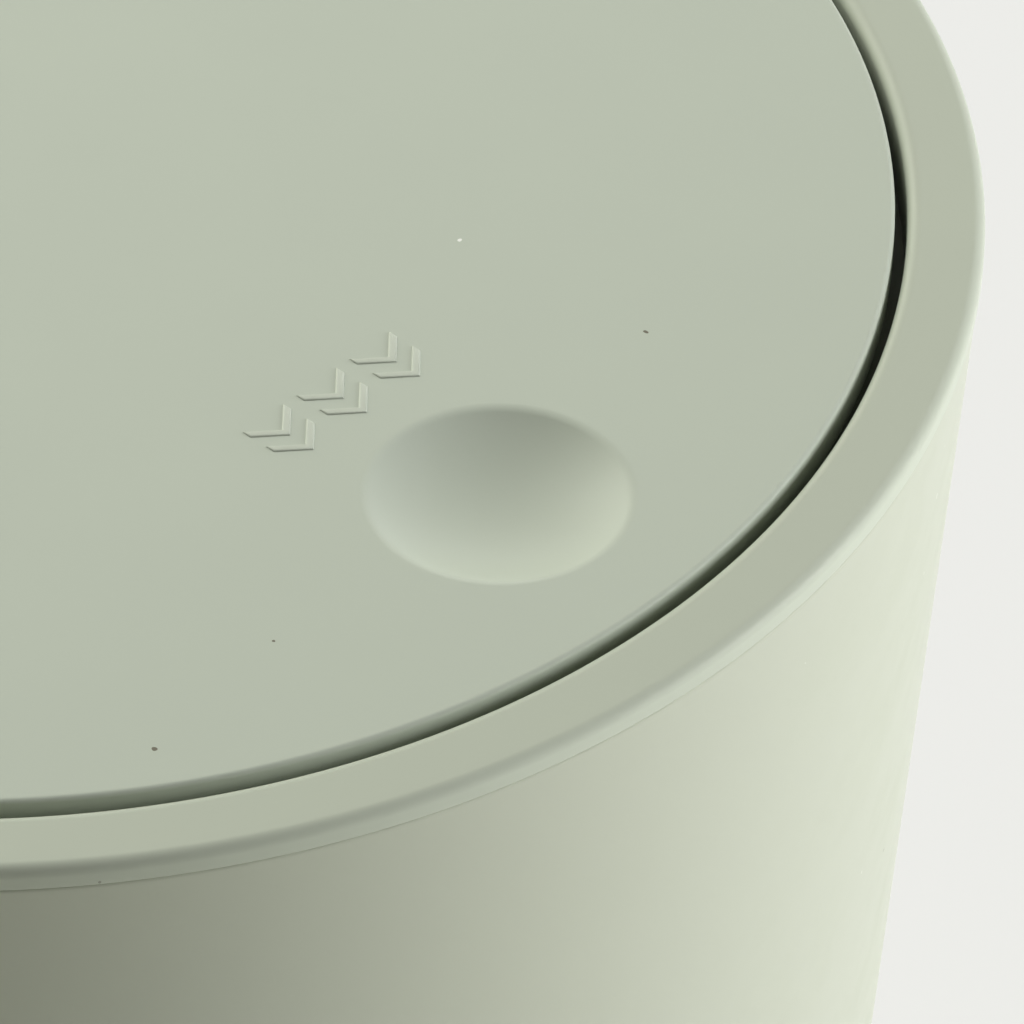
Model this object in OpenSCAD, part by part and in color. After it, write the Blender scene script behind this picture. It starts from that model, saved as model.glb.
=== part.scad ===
// Push top countertop bin: a tapered tub, and a lift-off top that carries a sprung lid.
// Millimetres, +Z up, origin at the centre of the base on the table, front at -Y.

/* [Tub] */
// Outer radius of the tub at its top edge
body_top_r = 100; // [96:0.5:120]
// Outer radius that the tub's wall would have at the table
body_base_r = 85; // [82:0.5:94]
// Height of the tub's top edge above the table
body_h = 236.6; // [200:0.2:300]
// Wall thickness of the tub
body_wall = 2.4; // [1.8:0.1:2.8]
// Thickness of the tub's floor
body_floor = 3.6; // [3:0.1:6]
// Gap between the tub's underside and the table
body_lift = 1.2; // [0.6:0.1:2]
// Rounding of the tub's bottom outer edge
body_foot_round = 3; // [1:0.5:5]
// Rounding inside, where the wall meets the floor
body_inside_round = 5; // [2:0.5:8]
// Chamfer of the tub's top outer edge
body_edge_chamfer = 0.5; // [0.2:0.1:0.8]

/* [Grip ring] */
// Mean radius of the soft ring under the tub
grip_r = 76.5; // [68:0.5:78]
// Width of the soft ring
grip_w = 6; // [4:0.5:8]
// Depth of the groove that holds the soft ring
grip_seat = 2; // [1.2:0.1:2.2]
// Chamfer of the soft ring's lower edges
grip_chamfer = 0.5; // [0.2:0.1:0.8]

/* [Rim] */
// How far the rim stands out past the tub's top edge
rim_overhang = 0.2; // [0:0.1:0.6]
// Width of the rim, seen from above
rim_w = 7.8; // [7.6:0.1:10]
// Height of the rim above the tub's top edge
rim_h = 2.6; // [2.2:0.1:4]
// Rounding of the rim's inner edge
rim_in_round = 1; // [0.4:0.1:1.4]
// Rounding of the rim's outer edge
rim_out_round = 1.2; // [0.4:0.1:1.6]
// Thickness of the wall that hangs from the rim's inner edge
rim_skirt_t = 2.2; // [1.6:0.1:2.4]
// Depth of the ledge under the lid, below the rim's top
ledge_drop = 8.4; // [8:0.1:11]
// Thickness of the wall under the fixed rear deck's front edge
deck_lip_t = 2; // [1.5:0.1:3]

/* [Lid] */
// Gap between the lid's edge and the rim
lid_gap = 1.25; // [1:0.05:1.8]
// How far the lid's top stands above the rim's top
lid_proud = 0.8; // [0.4:0.1:1.2]
// Thickness of the lid's top skin
lid_skin = 2.2; // [1.8:0.1:2.6]
// Thickness of the lid's hanging edge
lid_edge_t = 2; // [1.5:0.1:2.4]
// Height of the lid's hanging edge, from its top
lid_edge_h = 4.8; // [4:0.1:5]
// Rounding of the lid's top edge
lid_edge_round = 0.8; // [0.4:0.1:1.2]
// Gap between the lid's straight rear edge and the fixed deck
deck_gap = 2; // [1.8:0.1:3]
// Distance from the lid's straight rear edge back to the hinge axis
rear_setback = 12; // [11.5:0.1:15]
// Half the width of the tab that reaches back over the hinge
tab_half_w = 32; // [28:0.5:40]
// How far the tab reaches behind the hinge axis
tab_reach = 8; // [6:0.1:8.2]
// Gap beside the tab
tab_side_gap = 1.3; // [1:0.1:2]
// Gap behind the tab
tab_rear_gap = 2.4; // [2.3:0.1:4]

/* [Press dimple and raised mark] */
// Distance from the lid's front edge to the dimple's centre
dimple_inset = 21.15; // [20.5:0.05:30]
// Radius of the dimple at its outer lip
dimple_r = 13.4; // [10:0.1:14]
// Depth of the dimple
dimple_depth = 3.5; // [2:0.1:3.6]
// Rounding of the dimple's lip
dimple_lip = 2.5; // [1:0.1:4]
// Distance from the dimple's centre back to the middle of the raised mark
mark_offset = 20.7; // [19:0.1:30]
// Number of arrowheads across the raised mark
mark_count = 3; // [1:1:5]
// Width of one arrowhead
mark_w = 5.8; // [4:0.1:9]
// Spacing of the arrowheads
mark_pitch = 7.5; // [7:0.1:12]
// Height of one arrowhead's fold
mark_fold = 2.6; // [1.5:0.1:4]
// Spacing of the two nested lines of an arrowhead
mark_nest = 3.1; // [1.5:0.1:4]
// Width of the raised line
mark_line = 0.8; // [0.5:0.1:1.2]
// Height of the raised line above the lid
mark_relief = 0.35; // [0.2:0.05:0.5]

/* [Lid inner panel] */
// Thickness of the inner panel
panel_t = 1.8; // [1.5:0.1:2]
// Depth of the inner panel's underside below the lid's top
panel_drop = 5.8; // [5.6:0.1:6]
// Gap between the inner panel and the lid's hanging edge
panel_gap = 0.45; // [0.3:0.05:0.8]
// Inner radius of the cup under the dimple
cup_r = 11.6; // [11:0.1:12]
// Wall thickness of the cup
cup_wall = 1.7; // [1.4:0.1:2]
// Thickness of the cup's floor
cup_floor = 2.2; // [1.8:0.1:2.4]
// Gap between the dimple's underside and the cup's floor
cup_gap = 1.1; // [0.6:0.1:1.3]
// Thickness of the two hinge arms
arm_t = 4; // [3:0.1:4.4]

/* [Hinge] */
// Distance from the lid's edge circle in to the hinge axis
hinge_inset = 29.15; // [26:0.05:34]
// Depth of the hinge axis below the lid's top
hinge_drop = 7; // [6.9:0.1:7.2]
// Radius of the hinge pin
pin_r = 2; // [1.5:0.1:2.4]
// Running clearance around the hinge pin
pin_play = 0.05; // [0.02:0.01:0.08]
// Outer radius of the lid's hinge knuckles
knuckle_r = 4.4; // [3.6:0.1:4.5]
// Width of each hinge knuckle and arm
knuckle_w = 6; // [4:0.1:8]
// End play between a knuckle and its bracket
knuckle_play = 0.3; // [0.15:0.05:0.6]
// Thickness of the two hinge brackets
bracket_t = 4; // [3:0.1:6]
// Half the depth of a hinge bracket, front to back
bracket_half_d = 5.5; // [4.5:0.1:7]
// How far the pin stands out past each bracket
pin_stand_out = 2.4; // [2:0.1:4]
// Depth of the clip grooves in the pin
clip_seat = 0.5; // [0.3:0.05:0.6]
// Thickness of the pin clips
clip_t = 0.8; // [0.6:0.1:1]
// Radial width of the pin clips
clip_w = 1.9; // [1.5:0.1:2]
// Opening of the pin clips
clip_mouth = 2.6; // [2:0.1:3]

/* [Hinge springs] */
// Wire thickness of the hinge springs
spring_wire = 1.1; // [0.8:0.1:1.3]
// Mean radius of the hinge springs' coils
spring_r = 3.2; // [3.1:0.1:3.4]
// Number of turns of each hinge spring
spring_turns = 10; // [6:1:11]
// Length of the coiled part of each hinge spring
spring_len = 16; // [14.5:0.5:18]
// Reach of the leg that lifts the lid, in front of the hinge axis
spring_lid_leg = 17; // [15:0.5:24]
// Length of wire past the edge of the frame that the rear leg bears on
spring_tail = 4; // [2:0.5:6]

/* [Lid frame] */
// Thickness of the frame's ledge
ledge_t = 2.4; // [2:0.1:3]
// Width of the ledge that shows inside the rim's wall
ledge_w = 6.4; // [4:0.1:7]
// Length of the plug wall below the ledge
plug_h = 14; // [8:0.5:24]
// Thickness of the plug wall
plug_t = 2; // [1.6:0.1:2.2]
// Gap between the plug wall and the tub
plug_gap = 0.4; // [0.3:0.05:0.8]
// Distance from the rear window's back edge to the hinge axis
window_reach = 17; // [16:0.5:18]

/* [Latch] */
// Half the width of the shelf that carries the latch
shelf_half_w = 18; // [17.5:0.5:24]
// Thickness of the latch shelf
shelf_t = 2.4; // [2:0.1:3]
// Depth of the latch shelf's top below the ledge's underside
shelf_drop = 4; // [3.5:0.1:6]
// Distance from the latch axis back to the shelf's rear edge
shelf_reach = 16; // [14:0.5:18]
// Thickness of the webs that hang the shelf
web_t = 2; // [1.6:0.1:2.4]
// Radius of the latch plunger
plunger_r = 6; // [5.5:0.1:6.5]
// Length of the latch plunger
plunger_len = 17.3; // [16:0.1:20]
// Running clearance around the plunger
plunger_play = 0.06; // [0.03:0.01:0.08]
// Radius of the magnet in the plunger's head
magnet_r = 4; // [3:0.1:4.4]
// Length of the magnet
magnet_len = 3.3; // [2.5:0.1:4]
// How far the magnet stands above the plunger
magnet_proud = 0.3; // [0.2:0.1:0.5]
// Air gap between the magnet and the strike plate
strike_gap = 0.2; // [0.16:0.02:0.3]
// Width of the strike plate
strike_w = 20; // [18:0.5:21]
// Depth of the strike plate, front to back
strike_d = 13; // [10:0.5:14]
// Thickness of the strike plate
strike_t = 1.2; // [1:0.1:1.4]
// Outer radius of the latch housing
housing_r = 10; // [9.5:0.1:11]
// Radius of the housing's neck, where it passes through the shelf
neck_r = 8.6; // [8.2:0.1:9]
// Height of the housing's neck above the shelf
neck_h = 1.6; // [1:0.1:1.8]
// Depth of the housing below the shelf
housing_h = 19; // [18:0.5:24]
// Thickness of the housing's two fixing ears
ear_t = 3; // [2.5:0.1:4]
// Half the width across the housing's fixing ears
ear_half_w = 16; // [15.5:0.1:17]
// Depth of the fixing ears, front to back
ear_d = 8; // [6:0.5:12]
// Thickness of the cap under the housing
cap_t = 2; // [1.5:0.1:3]
// Length of the cap's spigot inside the housing
cap_spigot = 3; // [2:0.1:4]
// Depth of the spring pocket in the plunger
spring_pocket = 4; // [3:0.1:5]
// Radius of the spring pocket
spring_pocket_r = 4.9; // [4.7:0.1:5.1]
// Wire thickness of the latch spring
latch_wire = 0.8; // [0.6:0.1:0.9]
// Mean radius of the latch spring
latch_spring_r = 4.2; // [3.6:0.1:4.25]
// Number of turns of the latch spring
latch_turns = 5; // [3:1:8]
// Radius of the track pin's wire
track_r = 0.6; // [0.4:0.05:0.7]
// Depth of the cam track in the plunger
track_depth = 1.6; // [1.2:0.1:1.8]
// Height of the cam track
track_h = 8; // [7.9:0.1:9]
// Half the width of the cam track
track_half_w = 3; // [2.5:0.1:3.4]
// Depth of the track pin's tip below the plunger's top
track_tip_drop = 9; // [7:0.1:9.5]
// Length of the track pin below its tip
track_pin_len = 14.6; // [12:0.1:15]

/* [Screws] */
// Shank radius of the frame and lid screws
screw_r = 1.15; // [0.9:0.05:1.3]
// Head radius of the frame and lid screws
screw_head_r = 2.2; // [1.9:0.05:2.3]
// Head height of the frame and lid screws
screw_head_h = 1.5; // [1:0.1:1.8]
// Wall around each screw in its boss
boss_wall = 1.1; // [0.9:0.05:1.2]
// Depth that the frame screws' heads are let into the ledge
screw_seat = 0.3; // [0.2:0.1:0.6]
// Number of screws between the frame and the rim
frame_screw_count = 6; // [4:2:8]
// Length of a frame screw's shank
frame_screw_len = 7; // [5:0.1:8]
// Distance from the lid's edge in to its screws
lid_screw_inset = 15; // [12:0.5:20]
// Length of a lid screw's shank
lid_screw_len = 4.6; // [4:0.1:4.8]
// Length of a latch screw's shank
latch_screw_len = 6.6; // [5:0.1:7]
// Shank radius of the strike screws
strike_screw_r = 1; // [0.8:0.05:1.2]
// Head radius of the strike screws
strike_head_r = 1.9; // [1.6:0.05:2]
// Distance of the strike screws from the latch axis
strike_screw_x = 7.2; // [6.8:0.1:7.8]

/* [Hidden] */
$fn = 128;

// Small step that lets cutting tools run past a face
eps = 0.1;
// Pieces that would slide on each other are this far apart where nothing else sets it
small_gap = 0.05;
// Room around a screw head or a clip in the slot it reaches through
slot_play = 0.4;

// Colours
shell_colour = [0.72, 0.75, 0.68];
rim_colour = [0.70, 0.73, 0.66];
lid_colour = [0.71, 0.74, 0.67];
frame_colour = [0.64, 0.67, 0.60];
grip_colour = [0.36, 0.38, 0.34];
steel_colour = [0.70, 0.71, 0.72];
latch_colour = [0.86, 0.86, 0.83];
magnet_colour = [0.45, 0.46, 0.48];

// Heights
rim_top_z = body_h + rim_h;
lid_top_z = rim_top_z + lid_proud;
ledge_top_z = rim_top_z - ledge_drop;
ledge_bottom_z = ledge_top_z - ledge_t;
plug_bottom_z = ledge_bottom_z - plug_h;
floor_z = body_lift + body_floor;
skin_bottom_z = lid_top_z - lid_skin;
lid_edge_z = lid_top_z - lid_edge_h;
panel_bottom_z = lid_top_z - panel_drop;
panel_top_z = panel_bottom_z + panel_t;
hinge_z = lid_top_z - hinge_drop;

// Radii and places seen from above
rim_out_r = body_top_r + rim_overhang;
rim_in_r = rim_out_r - rim_w;
lid_r = rim_in_r - lid_gap;
ledge_in_r = rim_in_r - ledge_w;
hinge_y = lid_r - hinge_inset;
lid_rear_y = hinge_y - rear_setback;
deck_y = lid_rear_y + deck_gap;
notch_half_w = tab_half_w + tab_side_gap;
notch_y = hinge_y + tab_reach + tab_rear_gap;
latch_y = dimple_inset - lid_r;
mark_y = latch_y + mark_offset;
boss_r = screw_r + boss_wall;
frame_screw_ring_r = plug_r(ledge_top_z) - boss_r;
lid_screw_ring_r = lid_r - lid_screw_inset;

// Hinge, along X from the middle outwards
knuckle_out_x = tab_half_w;
knuckle_in_x = knuckle_out_x - knuckle_w;
bracket_in_x = knuckle_out_x + knuckle_play;
bracket_out_x = bracket_in_x + bracket_t;
clip_x = bracket_out_x + knuckle_play;
pin_end_x = bracket_out_x + pin_stand_out;
clip_r = pin_r - clip_seat + clip_w;

// Dimple: a bowl that meets its rounded lip at one slope
dimple_slope = 2 * atan(dimple_depth / dimple_r);
bowl_r = dimple_r / sin(dimple_slope) - dimple_lip;
bowl_bottom_z = skin_bottom_z - dimple_depth;

// Latch, from the cup under the dimple down to the cap
cup_floor_top_z = bowl_bottom_z - cup_gap;
cup_floor_z = cup_floor_top_z - cup_floor;
strike_z = cup_floor_z - strike_t;
magnet_top_z = strike_z - strike_gap;
plunger_top_z = magnet_top_z - magnet_proud;
plunger_bottom_z = plunger_top_z - plunger_len;
shelf_top_z = ledge_bottom_z - shelf_drop;
shelf_bottom_z = shelf_top_z - shelf_t;
neck_top_z = shelf_top_z + neck_h;
housing_bottom_z = shelf_bottom_z - housing_h;
spigot_top_z = housing_bottom_z + cap_spigot;
spring_seat_z = plunger_bottom_z + spring_pocket;
bore_r = plunger_r + plunger_play;
track_tip_z = plunger_top_z - track_tip_drop;
track_pin_y = (bore_r + housing_r) / 2;
ear_screw_x = (housing_r + ear_half_w) / 2;

// Angles of the repeated screws, counted from the right-hand side
frame_screw_angles = [for (i = [0 : frame_screw_count - 1]) i * 360 / frame_screw_count];
lid_screw_angles = [22, -18, -54, -126, -162, 158];

// Outer radius of the tub's wall at a height
function body_r(z) = body_base_r + (body_top_r - body_base_r) * z / body_h;
// Inner radius of the tub's wall at a height
function body_in_r(z) = body_r(z) - body_wall;
// Outer radius of the plug wall, which follows the tub
function plug_r(z) = body_in_r(z) - plug_gap;
// Points of an arc
function arc_points(cx, cy, r, from, to, steps = 8) =
    [for (i = [0 : steps]) let (a = from + (to - from) * i / steps) [cx + r * cos(a), cy + r * sin(a)]];
function unit(v) = v / norm(v);

// Points of a round wire along a path that stays nearly square to one axis
function wire_points(path, r, sides, along) =
    let (last = len(path) - 1)
    [for (i = [0 : last])
        let (
            ahead = unit(path[min(i + 1, last)] - path[max(i - 1, 0)]),
            across = unit(cross(ahead, along)),
            up = cross(across, ahead)
        )
        for (k = [0 : sides - 1])
            path[i] + r * (cos(360 * k / sides) * across + sin(360 * k / sides) * up)];

// Faces of a wire with that many rings and sides
function wire_faces(rings, sides) = concat(
    [[for (k = [0 : sides - 1]) k]],
    [for (i = [0 : rings - 2]) for (k = [0 : sides - 1])
        let (n = (k + 1) % sides)
        [i * sides + k, (i + 1) * sides + k, (i + 1) * sides + n, i * sides + n]],
    [[for (k = [sides - 1 : -1 : 0]) (rings - 1) * sides + k]]
);

module wire(path, r, sides, along) {
    polyhedron(wire_points(path, r, sides, along), wire_faces(len(path), sides), convexity = 10);
}

// A ring of copies around the vertical axis
module around(r, angles) {
    for (a = angles) rotate([0, 0, a]) translate([r, 0, 0]) children();
}

// A pan-head screw that points up, with its shank starting at z = 0
module pan_screw(len) {
    difference() {
        union() {
            cylinder(r = screw_r, h = len);
            translate([0, 0, -screw_head_h]) cylinder(r = screw_head_r, h = screw_head_h);
        }
        cross_recess(screw_r, -screw_head_h, screw_head_h / 2);
    }
}

// A cross recess cut up into a screw head from its underside
module cross_recess(reach, head_z, depth) {
    width = reach * 0.5;
    for (turn = [0, 90]) {
        rotate([0, 0, turn]) translate([-reach, -width / 2, head_z - eps])
            cube([2 * reach, width, depth + eps]);
    }
}

// The lid's plan, drawn in by an inset: a disc with a straight rear edge
module lid_plan(inset) {
    intersection() {
        circle(r = lid_r - inset);
        translate([-lid_r, -lid_r]) square([2 * lid_r, lid_r + lid_rear_y - inset]);
    }
}

module body_shell() {
    foot_r = body_r(body_lift);
    inside_r = body_in_r(floor_z + body_inside_round);
    color(shell_colour) difference() {
        rotate_extrude() polygon(concat(
            [[0, body_lift]],
            arc_points(foot_r - body_foot_round, body_lift + body_foot_round, body_foot_round, -90, 0),
            [[body_r(body_h - body_edge_chamfer), body_h - body_edge_chamfer],
             [body_top_r - body_edge_chamfer, body_h],
             [body_in_r(body_h), body_h]],
            arc_points(inside_r - body_inside_round, floor_z + body_inside_round, body_inside_round, 0, -90),
            [[0, floor_z]]
        ));
        translate([0, 0, body_lift - eps]) difference() {
            cylinder(r = grip_r + grip_w / 2, h = grip_seat + eps);
            translate([0, 0, -eps]) cylinder(r = grip_r - grip_w / 2, h = grip_seat + 3 * eps);
        }
    }
}

module grip_ring() {
    inner = grip_r - grip_w / 2;
    outer = grip_r + grip_w / 2;
    color(grip_colour) rotate_extrude() polygon([
        [inner + grip_chamfer, 0], [outer - grip_chamfer, 0], [outer, grip_chamfer],
        [outer, body_lift + grip_seat], [inner, body_lift + grip_seat], [inner, grip_chamfer]
    ]);
}

// The fixed deck's plan behind the lid, with the notch for the lid's tab
module deck_plan() {
    difference() {
        intersection() {
            circle(r = rim_in_r + rim_in_round);
            translate([-rim_out_r, deck_y]) square([2 * rim_out_r, rim_out_r]);
        }
        translate([-notch_half_w, 0]) square([2 * notch_half_w, notch_y]);
    }
}

module rim_ring() {
    skirt_r = rim_in_r + rim_skirt_t;
    edge = body_edge_chamfer / 2;
    screw_depth = frame_screw_len + screw_seat - ledge_t;
    color(rim_colour) difference() {
        union() {
            rotate_extrude() polygon(concat(
                [[rim_in_r, ledge_top_z]],
                arc_points(rim_in_r + rim_in_round, rim_top_z - rim_in_round, rim_in_round, 180, 90),
                arc_points(rim_out_r - rim_out_round, rim_top_z - rim_out_round, rim_out_round, 90, 0),
                [[rim_out_r, body_h + edge], [rim_out_r - edge, body_h],
                 [skirt_r, body_h], [skirt_r, ledge_top_z]]
            ));
            translate([0, 0, body_h]) linear_extrude(rim_h) deck_plan();
            translate([0, 0, ledge_top_z]) linear_extrude(body_h - ledge_top_z + eps) intersection() {
                deck_plan();
                translate([-rim_out_r, deck_y]) square([2 * rim_out_r, deck_lip_t]);
            }
            translate([0, 0, ledge_top_z]) difference() {
                around(frame_screw_ring_r, frame_screw_angles)
                    cylinder(r = boss_r, h = body_h - ledge_top_z + eps);
                translate([0, 0, -eps]) cylinder(r = rim_in_r, h = body_h);
            }
        }
        translate([0, 0, ledge_top_z - eps]) around(frame_screw_ring_r, frame_screw_angles)
            cylinder(r = screw_r, h = screw_depth + 2 * eps);
    }
}

// The bore that the hinge pin runs through
module pin_bore() {
    translate([-pin_end_x, hinge_y, hinge_z]) rotate([0, 90, 0])
        cylinder(r = pin_r + pin_play, h = 2 * pin_end_x);
}

// The plan of the frame's rear plate, behind the mouth
module rear_plate_plan() {
    plate_y = deck_y + deck_lip_t / 2;
    difference() {
        intersection() {
            circle(r = ledge_in_r + 1);
            translate([-rim_out_r, plate_y]) square([2 * rim_out_r, rim_out_r]);
        }
        translate([-bracket_in_x, 0]) square([2 * bracket_in_x, hinge_y + window_reach]);
    }
}

// The shelf at the front that carries the latch, and the webs that hang it
module latch_shelf() {
    front_y = -plug_r(shelf_bottom_z) + plug_t / 2;
    depth = latch_y + shelf_reach - front_y;
    translate([-shelf_half_w, front_y, shelf_bottom_z]) cube([2 * shelf_half_w, depth, shelf_t]);
    for (side = [-1, 1]) {
        translate([side * (shelf_half_w - web_t / 2), 0, shelf_bottom_z])
            translate([-web_t / 2, front_y, 0]) cube([web_t, depth, ledge_bottom_z - shelf_bottom_z + eps]);
        translate([side * ear_screw_x, latch_y, shelf_top_z - eps])
            cylinder(r = boss_r, h = latch_screw_len - ear_t - shelf_t + 3 * eps);
    }
}

module lid_frame() {
    notch_end_x = pin_end_x + slot_play;
    notch_half_d = clip_r + slot_play;
    color(frame_colour) difference() {
        union() {
            rotate_extrude() polygon([
                [ledge_in_r, ledge_top_z], [plug_r(ledge_top_z), ledge_top_z],
                [plug_r(plug_bottom_z), plug_bottom_z], [plug_r(plug_bottom_z) - plug_t, plug_bottom_z],
                [plug_r(ledge_bottom_z) - plug_t, ledge_bottom_z], [ledge_in_r, ledge_bottom_z]
            ]);
            translate([0, 0, ledge_bottom_z]) linear_extrude(ledge_t) rear_plate_plan();
            for (side = [-1, 1]) {
                translate([side * (bracket_in_x + bracket_out_x) / 2, hinge_y, 0])
                    translate([-bracket_t / 2, -bracket_half_d, ledge_bottom_z])
                        cube([bracket_t, 2 * bracket_half_d, body_h - ledge_bottom_z - small_gap]);
            }
            intersection() {
                latch_shelf();
                cylinder(r = plug_r(shelf_bottom_z) - plug_t / 2, h = ledge_top_z);
            }
        }
        pin_bore();
        around(frame_screw_ring_r, frame_screw_angles) {
            translate([0, 0, ledge_bottom_z - eps]) cylinder(r = screw_r, h = ledge_t + 2 * eps);
            translate([-boss_r - slot_play, -screw_head_r - slot_play, plug_bottom_z - eps])
                cube([3 * boss_r, 2 * (screw_head_r + slot_play), plug_h + screw_seat + eps]);
        }
        for (side = [-1, 1]) {
            translate([side * (bracket_out_x + notch_end_x) / 2, hinge_y, ledge_bottom_z + ledge_t / 2])
                cube([notch_end_x - bracket_out_x, 2 * notch_half_d, ledge_t + 2 * eps], center = true);
        }
        translate([0, latch_y, shelf_bottom_z - eps]) cylinder(r = neck_r + small_gap, h = shelf_t + 2 * eps);
        for (side = [-1, 1]) {
            translate([side * ear_screw_x, latch_y, shelf_bottom_z - eps])
                cylinder(r = screw_r, h = latch_screw_len - ear_t + 2 * eps);
        }
    }
}

module frame_screws() {
    color(steel_colour) translate([0, 0, ledge_bottom_z + screw_seat])
        around(frame_screw_ring_r, frame_screw_angles) pan_screw(frame_screw_len);
}

// The solid that the dimple takes out of the lid: a bowl with a rounded lip
module dimple_cut() {
    lip_z = -dimple_lip;
    cut_top_z = mark_relief + eps;
    bowl_z = bowl_r - dimple_depth;
    translate([0, latch_y, lid_top_z]) rotate_extrude() polygon(concat(
        arc_points(0, bowl_z, bowl_r, -90, dimple_slope - 90, 16),
        arc_points(dimple_r, lip_z, dimple_lip, 90 + dimple_slope, 90, 6),
        [[dimple_r, cut_top_z], [0, cut_top_z]]
    ));
}

// The skin under the dimple, of the lid's own thickness
module dimple_shell() {
    bowl_z = bowl_r - dimple_depth;
    under_r = bowl_r + lid_skin;
    translate([0, latch_y, lid_top_z]) rotate_extrude() polygon(concat(
        arc_points(0, bowl_z, under_r, -90, dimple_slope - 90, 16),
        [[under_r * sin(dimple_slope), -lid_skin / 2], [0, -lid_skin / 2]]
    ));
}

// One arrowhead of two nested lines that points at the dimple
module arrowhead() {
    rise = mark_line / cos(atan(2 * mark_fold / mark_w));
    for (row = [0, 1]) {
        translate([0, (row - 0.5) * mark_nest + mark_fold / 2 - rise / 2]) polygon([
            [-mark_w / 2, 0], [0, -mark_fold], [mark_w / 2, 0],
            [mark_w / 2, rise], [0, rise - mark_fold], [-mark_w / 2, rise]
        ]);
    }
}

module raised_mark() {
    first = -(mark_count - 1) / 2 * mark_pitch;
    for (i = [0 : mark_count - 1]) {
        translate([first + i * mark_pitch, mark_y, lid_top_z - eps])
            linear_extrude(mark_relief + eps) arrowhead();
    }
}

// The ring that rounds the lid's top edge
module lid_edge_rounding() {
    rotate_extrude() difference() {
        translate([lid_r - lid_edge_round, lid_top_z - lid_edge_round]) square(lid_edge_round + eps);
        translate([lid_r - lid_edge_round, lid_top_z - lid_edge_round]) circle(r = lid_edge_round);
    }
}

module lid_panel() {
    color(lid_colour) {
        difference() {
            union() {
                difference() {
                    translate([0, 0, lid_edge_z]) linear_extrude(lid_edge_h) lid_plan(0);
                    translate([0, 0, lid_edge_z - eps])
                        linear_extrude(lid_edge_h - lid_skin + eps) lid_plan(lid_edge_t);
                }
                translate([-tab_half_w, lid_rear_y - lid_edge_t, skin_bottom_z])
                    cube([2 * tab_half_w, rear_setback + tab_reach + lid_edge_t, lid_skin]);
                dimple_shell();
                translate([0, 0, panel_top_z]) around(lid_screw_ring_r, lid_screw_angles)
                    cylinder(r = boss_r + boss_wall, h = skin_bottom_z - panel_top_z + eps);
                raised_mark();
            }
            lid_edge_rounding();
            dimple_cut();
            translate([0, 0, panel_top_z - eps]) around(lid_screw_ring_r, lid_screw_angles)
                cylinder(r = screw_r, h = lid_screw_len - panel_t + 2 * eps);
        }
    }
}

module lid_inner_panel() {
    arm_gap = 0.3;
    arm_y = lid_rear_y - lid_edge_t - panel_gap;
    arm_top_z = lid_edge_z - arm_gap;
    color(lid_colour) difference() {
        union() {
            translate([0, 0, panel_bottom_z]) linear_extrude(panel_t) lid_plan(lid_edge_t + panel_gap);
            translate([0, latch_y, cup_floor_z])
                cylinder(r = cup_r + cup_wall, h = panel_top_z - cup_floor_z);
            for (side = [-1, 1]) {
                translate([side * (knuckle_in_x + knuckle_out_x) / 2, 0, 0]) {
                    translate([-knuckle_w / 2, hinge_y, hinge_z]) rotate([0, 90, 0])
                        cylinder(r = knuckle_r, h = knuckle_w);
                    translate([-knuckle_w / 2, arm_y - knuckle_w, arm_top_z - arm_t])
                        cube([knuckle_w, hinge_y - arm_y + knuckle_w, arm_t]);
                }
            }
        }
        translate([0, latch_y, cup_floor_top_z]) cylinder(r = cup_r, h = panel_top_z);
        pin_bore();
        translate([0, 0, panel_bottom_z - eps]) around(lid_screw_ring_r, lid_screw_angles)
            cylinder(r = screw_r, h = panel_t + 2 * eps);
        for (side = [-1, 1]) {
            translate([side * strike_screw_x, latch_y, cup_floor_z - eps])
                cylinder(r = strike_screw_r, h = cup_floor + 2 * eps);
        }
    }
}

module lid_screws() {
    color(steel_colour) translate([0, 0, panel_bottom_z])
        around(lid_screw_ring_r, lid_screw_angles) pan_screw(lid_screw_len);
}

// A countersunk hole or screw body that points up from the strike plate's underside
module countersunk(len) {
    cylinder(r = strike_screw_r, h = len);
    cylinder(r1 = strike_head_r, r2 = strike_screw_r, h = strike_head_r - strike_screw_r);
}

module strike_plate() {
    corner_r = 2;
    color(steel_colour) translate([0, latch_y, strike_z]) difference() {
        union() {
            translate([corner_r - strike_w / 2, -strike_d / 2, 0])
                cube([strike_w - 2 * corner_r, strike_d, strike_t]);
            translate([-strike_w / 2, corner_r - strike_d / 2, 0])
                cube([strike_w, strike_d - 2 * corner_r, strike_t]);
            for (x = [-1, 1], y = [-1, 1]) {
                translate([x * (strike_w / 2 - corner_r), y * (strike_d / 2 - corner_r), 0])
                    cylinder(r = corner_r, h = strike_t);
            }
        }
        for (side = [-1, 1]) translate([side * strike_screw_x, 0, 0]) countersunk(strike_t + eps);
    }
}

module strike_screws() {
    color(steel_colour) for (side = [-1, 1]) {
        translate([side * strike_screw_x, latch_y, strike_z]) difference() {
            countersunk(strike_t + cup_floor);
            cross_recess(strike_screw_r, 0, strike_t / 2);
        }
    }
}

module hinge_pin() {
    color(steel_colour) translate([0, hinge_y, hinge_z]) rotate([0, 90, 0]) difference() {
        translate([0, 0, -pin_end_x]) cylinder(r = pin_r, h = 2 * pin_end_x);
        for (side = [-1, 1]) {
            translate([0, 0, side * (clip_x + clip_t / 2) - clip_t / 2 - small_gap]) difference() {
                cylinder(r = pin_r + eps, h = clip_t + 2 * small_gap);
                translate([0, 0, -eps]) cylinder(r = pin_r - clip_seat, h = clip_t + 2 * small_gap + 2 * eps);
            }
        }
    }
}

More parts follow.
